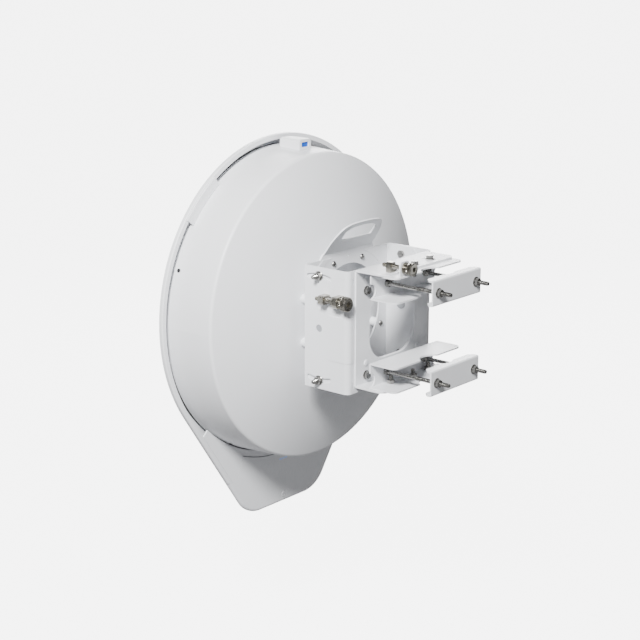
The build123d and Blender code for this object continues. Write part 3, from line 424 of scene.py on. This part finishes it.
def dust_group():
    """A film of dust that gathers on faces that look upwards."""
    tree, given, out = group(
        "Settled Dust",
        [("Colour", "Color", (0.8, 0.8, 0.8, 1)), ("Dust Colour", "Color", (0.55, 0.52, 0.47, 1)),
         ("Amount", "Float", 0.1)],
        [("Colour", "Color"), ("Mask", "Float")])
    normal = tree.nodes.new("ShaderNodeNewGeometry").outputs["Normal"]
    parts = tree.nodes.new("ShaderNodeSeparateXYZ")
    tree.links.new(normal, parts.inputs[0])
    facing = ranged(tree, parts.outputs["Z"], 0.25, 0.95)
    size = tree.nodes.new("ShaderNodeValue").outputs[0]
    size.default_value = 0.018
    speckle = ranged(tree, noise_at(tree, size), 0.42, 0.66)
    mask = maths(tree, "MULTIPLY", maths(tree, "MULTIPLY", facing, speckle), given["Amount"])
    tree.links.new(mixed(tree, mask, given["Colour"], given["Dust Colour"]), out["Colour"])
    tree.links.new(mask, out["Mask"])
    return tree


def placed_group(tree, name, **values):
    """A node group in a material, with its inputs set by name."""
    node = tree.nodes.new("ShaderNodeGroup")
    node.node_tree = bpy.data.node_groups[name]
    for key, value in values.items():
        socket = node.inputs[key.replace("_", " ").title()]
        if isinstance(value, bpy.types.NodeSocket):
            tree.links.new(value, socket)
        else:
            socket.default_value = value
    return node


def with_alpha(colour_value, factor=1.0):
    return tuple(min(1.0, c * factor) for c in colour_value) + (1.0,)


def finish(name, base, aged=0.94, patch=0.08, amount=0.5, gloss=(0.36, 0.46), metallic=0.0, dust=0.05,
           grain=0.0006, wave=0.004, wave_share=0.4, stretch=(1, 1, 1), relief=0.00002, strength=0.35,
           **extra):
    """A material with drifting colour and gloss, settled dust and fine relief.

    The frame brings a plain material for each slot under the same name, so that one is rebuilt.
    """
    material = bpy.data.materials.get(name) or bpy.data.materials.new(name)
    material.use_nodes = True
    tree = material.node_tree
    tree.nodes.clear()
    shader = tree.nodes.new("ShaderNodeBsdfPrincipled")
    surface = tree.nodes.new("ShaderNodeOutputMaterial").inputs["Surface"]
    tree.links.new(shader.outputs["BSDF"], surface)
    drift = placed_group(tree, "Surface Drift", Colour=with_alpha(base), Aged_Colour=with_alpha(base, aged),
                         Patch_Size=patch, Amount=amount, Gloss_Low=gloss[0], Gloss_High=gloss[1])
    film = placed_group(tree, "Settled Dust", Colour=drift.outputs["Colour"], Amount=dust)
    height = placed_group(tree, "Fine Relief", Grain_Size=grain, Wave_Size=wave, Wave_Share=wave_share,
                          Stretch=stretch)
    bump = tree.nodes.new("ShaderNodeBump")
    bump.inputs["Strength"].default_value = strength
    bump.inputs["Distance"].default_value = relief
    tree.links.new(height.outputs["Height"], bump.inputs["Height"])
    tree.links.new(film.outputs["Colour"], shader.inputs["Base Color"])
    tree.links.new(drift.outputs["Roughness"], shader.inputs["Roughness"])
    tree.links.new(bump.outputs["Normal"], shader.inputs["Normal"])
    shader.inputs["Metallic"].default_value = metallic
    for key, value in extra.items():
        shader.inputs[key.replace("_", " ")].default_value = value
    return material


def ringed(material, centre, spacing, depth):
    """Add lathe rings about the dish axis to a material's relief."""
    tree = material.node_tree
    bump = next(n for n in tree.nodes if n.bl_idname == "ShaderNodeBump")
    where = tree.nodes.new("ShaderNodeTexCoord").outputs["Object"]
    centred = tree.nodes.new("ShaderNodeMapping")
    centred.inputs["Location"].default_value = (0, 0, -centre)
    tree.links.new(where, centred.inputs["Vector"])
    rings = tree.nodes.new("ShaderNodeTexWave")
    rings.wave_type = "RINGS"
    rings.rings_direction = "Y"
    rings.inputs["Scale"].default_value = 1 / (20 * spacing)
    tree.links.new(centred.outputs["Vector"], rings.inputs["Vector"])
    second = tree.nodes.new("ShaderNodeBump")
    second.inputs["Strength"].default_value = 0.4
    second.inputs["Distance"].default_value = depth
    tree.links.new(rings.outputs["Fac"], second.inputs["Height"])
    tree.links.new(bump.outputs["Normal"], second.inputs["Normal"])
    tree.links.new(second.outputs["Normal"], tree.nodes["Principled BSDF"].inputs["Normal"])


def traced(material, trace_colour):
    """Add copper tracks under the solder mask of a board."""
    tree = material.node_tree
    where = tree.nodes.new("ShaderNodeTexCoord").outputs["Object"]
    turn = tree.nodes.new("ShaderNodeMapping")
    turn.inputs["Rotation"].default_value = (math.radians(90), 0, 0)
    tree.links.new(where, turn.inputs["Vector"])
    bricks = tree.nodes.new("ShaderNodeTexBrick")
    bricks.inputs["Scale"].default_value = 60.0
    bricks.inputs["Mortar Size"].default_value = 0.02
    bricks.inputs["Brick Width"].default_value = 0.9
    tree.links.new(turn.outputs["Vector"], bricks.inputs["Vector"])
    shader = tree.nodes["Principled BSDF"]
    under = shader.inputs["Base Color"].links[0].from_socket
    tree.links.new(mixed(tree, bricks.outputs["Fac"], under, trace_colour), shader.inputs["Base Color"])


# ---- Operators -------------------------------------------------------------
class BRIDGE_OT_finishes(bpy.types.Operator):
    """Make every finish and put it on the CAD pieces that use it"""
    bl_idname = "bridge.finishes"
    bl_label = "Finishes"

    def execute(self, context):
        shades = context.scene.bridge_colours
        drift_group()
        relief_group()
        dust_group()
        finish("bracket_paint", shades.powder_coat, aged=0.95, patch=0.05, gloss=(0.34, 0.44), dust=0.10,
               grain=0.0009, wave=0.0035, relief=0.00003, strength=0.30)
        finish("painted_rivet", shades.powder_coat, aged=0.95, patch=0.02, gloss=(0.32, 0.42), dust=0.08,
               grain=0.0008, wave=0.003, relief=0.00002, strength=0.30)
        finish("shell_plastic", shades.shell, aged=0.97, patch=0.16, gloss=(0.40, 0.50), dust=0.07,
               grain=0.0005, wave=0.006, wave_share=0.25, relief=0.000018, strength=0.28)
        finish("radome_plastic", shades.radome, aged=0.97, patch=0.18, gloss=(0.38, 0.48), dust=0.06,
               grain=0.0005, wave=0.006, wave_share=0.25, relief=0.000018, strength=0.28)
        finish("tail_plastic", shades.radome, aged=0.96, patch=0.12, gloss=(0.40, 0.50), dust=0.06,
               grain=0.0005, wave=0.005, wave_share=0.25, relief=0.000018, strength=0.28)
        finish("stainless", shades.stainless, aged=0.72, patch=0.012, gloss=(0.20, 0.36), metallic=1.0,
               dust=0.05, grain=0.0002, wave=0.002, stretch=(1, 0.25, 1), relief=0.00001, strength=0.30)
        finish("plated_steel", shades.plated, aged=0.74, patch=0.010, gloss=(0.20, 0.34), metallic=1.0,
               dust=0.06, grain=0.0002, wave=0.002, stretch=(1, 0.25, 1), relief=0.00001, strength=0.30)
        finish("black_steel", shades.black_steel, aged=1.6, patch=0.006, gloss=(0.38, 0.52), metallic=0.6,
               dust=0.05, grain=0.0002, relief=0.00001)
        finish("seal_rubber", shades.rubber, aged=1.5, patch=0.03, gloss=(0.55, 0.72), dust=0.15,
               grain=0.0004, relief=0.00004, strength=0.5)
        ringed(finish("spun_aluminium", (0.70, 0.71, 0.72), aged=0.9, patch=0.06, gloss=(0.26, 0.40),
                      metallic=1.0, dust=0.03, grain=0.0003, relief=0.00001),
               sum(c[2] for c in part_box("reflector")) / 2, 0.0012, 0.00003)
        finish("lens_glass", shades.lens, aged=2.4, patch=0.012, gloss=(0.04, 0.09), dust=0.02,
               grain=0.001, relief=0.000002, strength=0.1, Coat_Weight=1.0, Coat_Roughness=0.03)
        finish("light_plastic", shades.light, aged=1.3, patch=0.002, gloss=(0.12, 0.2), dust=0.02,
               grain=0.0005, relief=0.000004, Emission_Strength=0.35,
               Emission_Color=with_alpha(shades.light), Coat_Weight=0.4)
        traced(finish("board_laminate", (0.015, 0.14, 0.06), aged=1.5, patch=0.02, gloss=(0.2, 0.3), dust=0.04,
                      grain=0.0006, relief=0.00001), (0.05, 0.26, 0.11, 1))
        finish("tinned_steel", (0.72, 0.72, 0.70), aged=0.85, patch=0.01, gloss=(0.18, 0.32), metallic=1.0,
               dust=0.04, grain=0.0003, stretch=(1, 1, 0.2), relief=0.00001)
        finish("ground_copper", (0.66, 0.56, 0.42), aged=0.75, patch=0.008, gloss=(0.28, 0.44), metallic=1.0,
               dust=0.06, grain=0.0003, relief=0.00001)
        for part in frame["record"]["subparts"]:
            mesh = frame["nodes"][part["node"]].data
            mesh.materials.clear()
            mesh.materials.append(bpy.data.materials[part["material_slot"]])
        finish("pivot_pin_grey", shades.pin, aged=0.85, patch=0.01, gloss=(0.35, 0.5), dust=0.05,
               grain=0.0003, relief=0.00001)
        frame["nodes"]["tilt_pivot_pins"].data.materials[0] = bpy.data.materials["pivot_pin_grey"]
        return {"FINISHED"}


class BRIDGE_OT_long_bolts(bpy.types.Operator):
    """Model the four long clamp bolts with rolled threads, and the nuts that lock them"""
    bl_idname = "bridge.long_bolts"
    bl_label = "Long clamp bolts"

    def execute(self, context):
        sizes = context.scene.bridge_fasteners
        nuts = solids("clamp_bolt_lock_nuts")
        boxes = solids("clamp_bolts")
        low, high = boxes[0]
        head_rise = 4.0 * MM
        thread_length = 74.0 * MM
        web_back = low[1] + head_rise
        total = high[1] - web_back
        lock_end = nuts[0][1][1] - web_back + 6.0 * MM
        thread_start = total - thread_length
        shank = sizes.thread_radius - 0.4 * MM
        edge = 1.0 * MM
        rod = turned([(0, sizes.thread_radius - edge / 2), (lock_end - edge, shank),
                      (thread_start + edge, shank)], 32)
        head_radius = 8.5 * MM
        head = turned([(0.2 * MM, head_radius - edge / 4), (0, head_radius), (-1.4 * MM, head_radius),
                       (-2.6 * MM, head_radius * 0.92), (-3.5 * MM, head_radius * 0.72),
                       (-head_rise, head_radius * 0.36)], 40)
        pattern = joined([rod, head, thread(0.5 * MM, lock_end, sizes.thread_radius, sizes),
                          thread(thread_start, total, sizes.thread_radius, sizes)])
        bolts = [placed(pattern, (middle(b)[0], web_back, middle(b)[2]), (0, 1, 0)) for b in boxes]
        finished(bolts, "long_bolts", "clamp_bolts", "mast_bracket", "stainless")
        nut = hexagon(sizes.nut_height, sizes, sizes.thread_radius)
        lock = [placed(nut, (middle(b)[0], b[0][1], middle(b)[2]), (0, 1, 0)) for b in nuts]
        finished(lock, "long_bolt_lock_nuts", "clamp_bolt_lock_nuts", "mast_bracket", "stainless")
        discard(pattern, nut)
        return {"FINISHED"}


class BRIDGE_OT_clamp_nuts(bpy.types.Operator):
    """Model the flange nuts that close the two outer clamps"""
    bl_idname = "bridge.clamp_nuts"
    bl_label = "Clamp flange nuts"

    def execute(self, context):
        sizes = context.scene.bridge_fasteners
        flange = 9.0 * MM
        collar = turned([(0, flange - sizes.edge), (sizes.edge, flange), (0.9 * MM, flange),
                         (2.4 * MM, sizes.flats / 2)], 48)
        nut = hexagon(sizes.nut_height, sizes, sizes.thread_radius)
        lifted = placed(nut, (0, 0, 1.5 * MM), UP)
        pattern = joined([collar, lifted])
        for level in ("upper", "lower"):
            node = "clamp_nuts_" + level
            pieces = [placed(pattern, (middle(b)[0], b[0][1], middle(b)[2]), (0, 1, 0)) for b in solids(node)]
            finished(pieces, "flange_nuts_" + level, node, level + "_clamp", "stainless")
        discard(nut, pattern)
        return {"FINISHED"}


class BRIDGE_OT_bracket_bolts(bpy.types.Operator):
    """Model the hexagon bolts, washers and nuts of the pivots, locks and yoke"""
    bl_idname = "bridge.bracket_bolts"
    bl_label = "Bracket bolts and nuts"

    def execute(self, context):
        sizes = context.scene.bridge_fasteners
        nut = hexagon(sizes.nut_height, sizes, sizes.thread_radius)
        head = hexagon(sizes.head_height, sizes)
        disc = washer(sizes.washer_radius, sizes.washer_thickness, sizes)
        raised = placed(head, (0, 0, sizes.washer_thickness), UP)
        top = joined([disc, raised])
        depth = sizes.washer_thickness + sizes.head_height

        def bolts(node, axis, name):
            """Bolts whose head faces away from the middle along one axis."""
            made = []
            for low, high in solids(node):
                centre = (low + high) / 2
                side = side_of(centre[axis]) if axis == 2 else 1.0
                outer = high[axis] if side > 0 else low[axis]
                seat = centre.copy()
                seat[axis] = outer - side * depth
                direction = Vector((0, 0, 0))
                direction[axis] = side
                reach = high[axis] - low[axis] - depth
                shank = thread(-reach, 0.2 * MM, sizes.thread_radius, sizes)
                made += [placed(top, seat, direction), placed(shank, seat, direction)]
                discard(shank)
            return finished(made, name, node, frame_body(node), "stainless")

        bolts("azimuth_pivot_bolts", 2, "pivot_bolts")
        bolts("azimuth_lock_bolts", 2, "azimuth_locking_bolts")
        bolts("yoke_bolts", 1, "yoke_fixing_bolts")
        for node, axis, name in (("azimuth_pivot_nuts", 2, "pivot_nuts"),
                                 ("azimuth_lock_nuts", 2, "azimuth_locking_nuts"),
                                 ("yoke_nuts", 1, "yoke_fixing_nuts"), ("tilt_lock_nuts", 0, "tilt_locking_nuts")):
            made = []
            for low, high in solids(node):
                start = (low + high) / 2
                start[axis] = low[axis]
                direction = Vector((0, 0, 0))
                direction[axis] = 1.0
                made.append(placed(nut, start, direction))
            finished(made, name, node, frame_body(node), "stainless")
        self.tilt_locks(sizes, head)
        discard(nut, head, top)
        return {"FINISHED"}

    def tilt_locks(self, sizes, head):
        """Bolts that look inwards through the tilt slots, with their outer washers."""
        made = []
        for low, high in solids("tilt_lock_bolts"):
            centre = (low + high) / 2
            side = side_of(centre[0])
            inner = low[0] if side > 0 else high[0]
            reach = high[0] - low[0]
            start = Vector((inner, centre[1], centre[2]))
            shank = thread(sizes.head_height - 0.2 * MM, reach, sizes.thread_radius, sizes)
            made += [placed(head, start, (side, 0, 0)), placed(shank, start, (side, 0, 0))]
            discard(shank)
        finished(made, "tilt_locking_bolts", "tilt_lock_bolts", "dish", "stainless")
        disc = washer(9.0 * MM, sizes.washer_thickness, sizes)
        made = [placed(disc, (low[0], (low[1] + high[1]) / 2, (low[2] + high[2]) / 2), (1, 0, 0))
                for low, high in solids("tilt_lock_washers")]
        finished(made, "tilt_locking_washers", "tilt_lock_washers", "dish", "stainless")
        discard(disc)


def frame_body(node):
    """The CAD body that a node belongs to."""
    return next(name for name, nodes in frame["record"]["behaviour"]["bodies"].items() if node in nodes)


class BRIDGE_OT_rivets(bpy.types.Operator):
    """Model the domed rivets beside the yoke bolts"""
    bl_idname = "bridge.rivets"
    bl_label = "Yoke rivets"

    def execute(self, context):
        radius = 6.0 * MM
        rise = 1.8 * MM
        boxes = solids("yoke_rivets")
        low, high = boxes[0]
        total = high[1] - low[1]
        dome = [(math.sin(math.radians(a)) * rise, radius * math.cos(math.radians(a)) ** 0.5)
                for a in (0, 20, 40, 60, 75, 85)]
        back = 5.0 * MM
        body_radius = 3.0 * MM
        shape = [(-total + rise, back * 0.5), (-total + 1.2 * rise, back), (-rise * 1.6, body_radius),
                 (-0.02 * MM, body_radius)]
        pattern = turned(shape + dome, 40)
        made = [placed(pattern, (middle(b)[0], b[1][1] - rise, middle(b)[2]), (0, 1, 0)) for b in boxes]
        finished(made, "domed_rivets", "yoke_rivets", "azimuth_bracket", "painted_rivet")
        discard(pattern)
        return {"FINISHED"}


class BRIDGE_OT_hub_screws(bpy.types.Operator):
    """Model the button-head screws that hold the dish to the tilt plate"""
    bl_idname = "bridge.hub_screws"
    bl_label = "Hub screws"

    def execute(self, context):
        sizes = context.scene.bridge_fasteners
        boxes = solids("hub_screws")
        low, high = boxes[0]
        total = high[1] - low[1]
        rise = 3.2 * MM
        radius = 5.5 * MM
        shank_radius = 3.0 * MM
        socket_radius = 2.2 * MM
        socket_depth = 1.8 * MM
        dome = [(math.sin(math.radians(a)) * rise, radius * math.cos(math.radians(a * 0.72)))
                for a in (0, 18, 36, 54, 72, 90)]
        head = turned([(0, radius - sizes.edge)] + [(h + 0.05 * MM, r) for h, r in dome[:-1]]
                      + [(rise, dome[-1][1])], 40)
        socket = turned([(rise - socket_depth, socket_radius), (rise + 1.0 * MM, socket_radius)], 6)
        cut(head, socket)
        tip = rise - total
        shank = turned([(tip, shank_radius - 0.6 * MM), (tip + 0.8 * MM, shank_radius),
                        (0.1 * MM, shank_radius)], 24)
        pattern = joined([head, shank])
        made = [placed(pattern, (middle(b)[0], b[1][1] - rise, middle(b)[2]), (0, 1, 0)) for b in boxes]
        finished(made, "button_screws", "hub_screws", "dish", "stainless")
        discard(pattern)
        return {"FINISHED"}


class BRIDGE_OT_adjusting_screws(bpy.types.Operator):
    """Model the two adjusting screws with knurled heads and their thrust collars"""
    bl_idname = "bridge.adjusting_screws"
    bl_label = "Adjusting screws"

    def execute(self, context):
        sizes = context.scene.bridge_fasteners
        knobs = context.scene.bridge_knobs
        sheet = 3.0 * MM
        stand = 11.0 * MM
        self.screw(sizes, knobs, "elevation", knobs.elevation_head_radius, knobs.elevation_head_length, 10.0 * MM,
                   (3.0 * MM, 10.0 * MM, 7.9 * MM), stand, knobs.elevation_collar_flats)
        self.screw(sizes, knobs, "azimuth", knobs.azimuth_head_radius, knobs.azimuth_head_length, 8.0 * MM,
                   (2.4 * MM, 10.9 * MM, 6.4 * MM), sheet, sizes.flats)
        return {"FINISHED"}

    def screw(self, sizes, knobs, name, radius, head_length, socket, flange, wall, collar_flats):
        """A screw through a wall, with a flange on one side of it and a hexagon collar on the other."""
        node = name + "_screw"
        low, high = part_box(node)
        collar_low, collar_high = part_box(node + "_collar")
        centre = (low + high) / 2
        start = low[1]
        room = 0.3 * MM
        flange_thickness, flange_radius, neck_radius = flange
        head_start = high[1] - head_length - start
        flange_start = collar_high[1] + room + wall + room - start
        rod = thread(0, flange_start + 1.0 * MM, sizes.thread_radius, sizes)
        edge = sizes.edge
        neck = turned([(flange_start, flange_radius - edge), (flange_start + edge, flange_radius),
                       (flange_start + flange_thickness - edge, flange_radius),
                       (flange_start + flange_thickness, flange_radius - edge),
                       (flange_start + flange_thickness + 0.02 * MM, neck_radius),
                       (head_start + 0.5 * MM, neck_radius)], 48)
        grip = self.knurled(radius, head_length, knobs)
        head = placed(grip, (0, 0, head_start), UP)
        tool = turned([(head_start + head_length - 6.0 * MM, socket / math.sqrt(3)),
                       (head_start + head_length + 1.0 * MM, socket / math.sqrt(3))], 6)
        cut(head, tool)
        discard(grip)
        pattern = joined([rod, neck, head])
        made = placed(pattern, (centre[0], start, centre[2]), (0, 1, 0))
        finished([made], name + "_adjusting_screw", node, node, "plated_steel")
        height = collar_high[1] - collar_low[1]
        nut = hexagon(height, sizes, sizes.thread_radius, collar_flats)
        ring = placed(nut, (centre[0], collar_low[1], centre[2]), (0, 1, 0))
        finished([ring], name + "_thrust_collar", node + "_collar", node, "plated_steel")
        discard(pattern, nut)

    def knurled(self, radius, head_length, knobs):
        """A round head with straight grip grooves between two bevelled rims."""
        rim = 1.2 * MM
        band = rim + 0.6 * MM
        count = knobs.knurl_count
        face = radius * 0.78
        head = turned([(0, radius - rim), (rim, radius), (band, radius), (head_length - band, radius),
                       (head_length - rim, radius), (head_length, radius - rim),
                       (head_length - 0.4 * MM, face)], count * 4)
        bpy.ops.object.mode_set(mode="EDIT")
        bpy.ops.mesh.select_mode(type="VERT")
        bpy.ops.mesh.select_all(action="DESELECT")
        bpy.ops.object.mode_set(mode="OBJECT")
        step = 2 * math.pi / count
        for vertex in head.data.vertices:
            x, y, z = vertex.co
            phase = (math.atan2(y, x) % step) / step
            rimmed = math.hypot(x, y) > radius - 0.1 * MM
            vertex.select = rimmed and rim + 0.1 * MM < z < head_length - rim - 0.1 * MM and 0.4 < phase < 0.9
        bpy.ops.object.mode_set(mode="EDIT")
        shrink = 1 - knobs.knurl_depth / radius
        bpy.ops.transform.resize(value=(shrink, shrink, 1), center_override=(0, 0, 0))
        bpy.ops.object.mode_set(mode="OBJECT")
        return head


class BRIDGE_OT_stage(bpy.types.Operator):
    """Lay the floor and set the lights and the camera"""
    bl_idname = "bridge.stage"
    bl_label = "Stage"

    def execute(self, context):
        settings = context.scene.bridge_stage
        low, high = (Vector(corner) for corner in CAD_BOX)
        centre = (low + high) / 2
        self.floor(settings, low[2] - settings.floor_drop)
        right = Vector((-CAMERA_BACK[1], CAMERA_BACK[0], 0)).normalized()
        camera = bpy.data.cameras.new("Camera")
        camera.lens = settings.lens_length
        camera.clip_end = 50.0
        seat = bpy.data.objects.new("Camera", camera)
        context.scene.collection.objects.link(seat)
        seat.location = CAMERA_PLACE
        seat.rotation_mode = "QUATERNION"
        seat.rotation_quaternion = (-CAMERA_BACK).to_track_quat("-Z", "Y")
        context.scene.camera = seat
        self.light("Key", centre + KEY_FROM, centre, settings.key_size, settings.key_power)
        beside = centre + CAMERA_BACK * 1.8 + right * 1.9 + UP * 0.6
        self.light("Fill", beside, centre, 1.4, settings.fill_power)
        self.light("Far side", centre + FAR_SIDE_FROM, centre, 2.0, settings.far_power)
        world = bpy.data.worlds.new("Studio")
        context.scene.world = world
        world.use_nodes = True
        sky = world.node_tree.nodes["Background"].inputs
        sky["Color"].default_value = (1, 1, 1, 1)
        ray = world.node_tree.nodes.new("ShaderNodeLightPath").outputs["Is Camera Ray"]
        seen = maths(world.node_tree, "MULTIPLY", ray, settings.floor_glow)
        world.node_tree.links.new(maths(world.node_tree, "ADD", seen, settings.sky), sky["Strength"])
        return {"FINISHED"}

    def floor(self, settings, level):
        """A round floor of studio paper that sweeps up far away, so that no horizon shows."""
        arc = [(level + FLOOR_SWEEP * (1 - math.cos(math.radians(a))),
                FLOOR_REACH + FLOOR_SWEEP * math.sin(math.radians(a))) for a in range(10, 91, 10)]
        sheet = turned([(level - 0.02, FLOOR_REACH), (level, FLOOR_REACH)] + arc, 96)
        bpy.ops.object.mode_set(mode="EDIT")
        bpy.ops.mesh.select_all(action="DESELECT")
        bpy.ops.object.mode_set(mode="OBJECT")
        top = max(v.co.z for v in sheet.data.vertices)
        for face in sheet.data.polygons:
            face.select = all(sheet.data.vertices[i].co.z > top - 1e-4 for i in face.vertices)
        bpy.ops.object.mode_set(mode="EDIT")
        bpy.ops.mesh.delete(type="FACE")
        bpy.ops.object.mode_set(mode="OBJECT")
        smooth(sheet, 60.0)
        sheet.name = "studio_floor"
        paper = finish("studio_paper", settings.floor_colour, aged=0.99, patch=1.5, gloss=(0.75, 0.85), dust=0.0,
                       grain=0.004, relief=0.00005, strength=0.1)
        shader = paper.node_tree.nodes["Principled BSDF"]
        ray = paper.node_tree.nodes.new("ShaderNodeLightPath").outputs["Is Camera Ray"]
        glow = maths(paper.node_tree, "MULTIPLY", ray, settings.floor_glow)
        paper.node_tree.links.new(glow, shader.inputs["Emission Strength"])
        shader.inputs["Emission Color"].default_value = (1, 1, 1, 1)
        sheet.data.materials.append(paper)

    def light(self, name, at, target, size, power):
        lamp = bpy.data.lights.new(name, "AREA")
        lamp.shape = "DISK"
        lamp.size = size
        lamp.energy = power
        obj = bpy.data.objects.new(name, lamp)
        bpy.context.scene.collection.objects.link(obj)
        obj.location = at
        obj.rotation_mode = "QUATERNION"
        obj.rotation_quaternion = (target - at).to_track_quat("-Z", "Y")


class BRIDGE_PT_sidebar(bpy.types.Panel):
    """Lists the steps and their sizes"""
    bl_idname = "BRIDGE_PT_sidebar"
    bl_label = "Wireless Bridge"
    bl_space_type = "VIEW_3D"
    bl_region_type = "UI"
    bl_category = "Wireless Bridge"

    def draw(self, context):
        for operator in OPERATORS:
            self.layout.operator(operator.bl_idname)
        for key, kind in GROUPS.items():
            box = self.layout.box()
            box.label(text=kind.__doc__)
            for name in kind.__annotations__:
                box.prop(getattr(context.scene, key), name)


GROUPS = {
    "bridge_fasteners": BridgeFastenerSizes,
    "bridge_knobs": BridgeKnobSizes,
    "bridge_colours": BridgeColours,
    "bridge_stage": BridgeStage,
}
OPERATORS = (
    BRIDGE_OT_finishes,
    BRIDGE_OT_long_bolts,
    BRIDGE_OT_clamp_nuts,
    BRIDGE_OT_bracket_bolts,
    BRIDGE_OT_rivets,
    BRIDGE_OT_hub_screws,
    BRIDGE_OT_adjusting_screws,
    BRIDGE_OT_stage,
)


def register():
    for kind in (*GROUPS.values(), *OPERATORS, BRIDGE_PT_sidebar):
        bpy.utils.register_class(kind)
    for key, kind in GROUPS.items():
        setattr(bpy.types.Scene, key, bpy.props.PointerProperty(type=kind))


def unregister():
    for key in GROUPS:
        delattr(bpy.types.Scene, key)
    for kind in (BRIDGE_PT_sidebar, *reversed(OPERATORS), *GROUPS.values()):
        bpy.utils.unregister_class(kind)


def main():
    register()
    for operator in OPERATORS:
        family, name = operator.bl_idname.split(".")
        getattr(getattr(bpy.ops, family), name)()


if __name__ == "__main__":
    main()
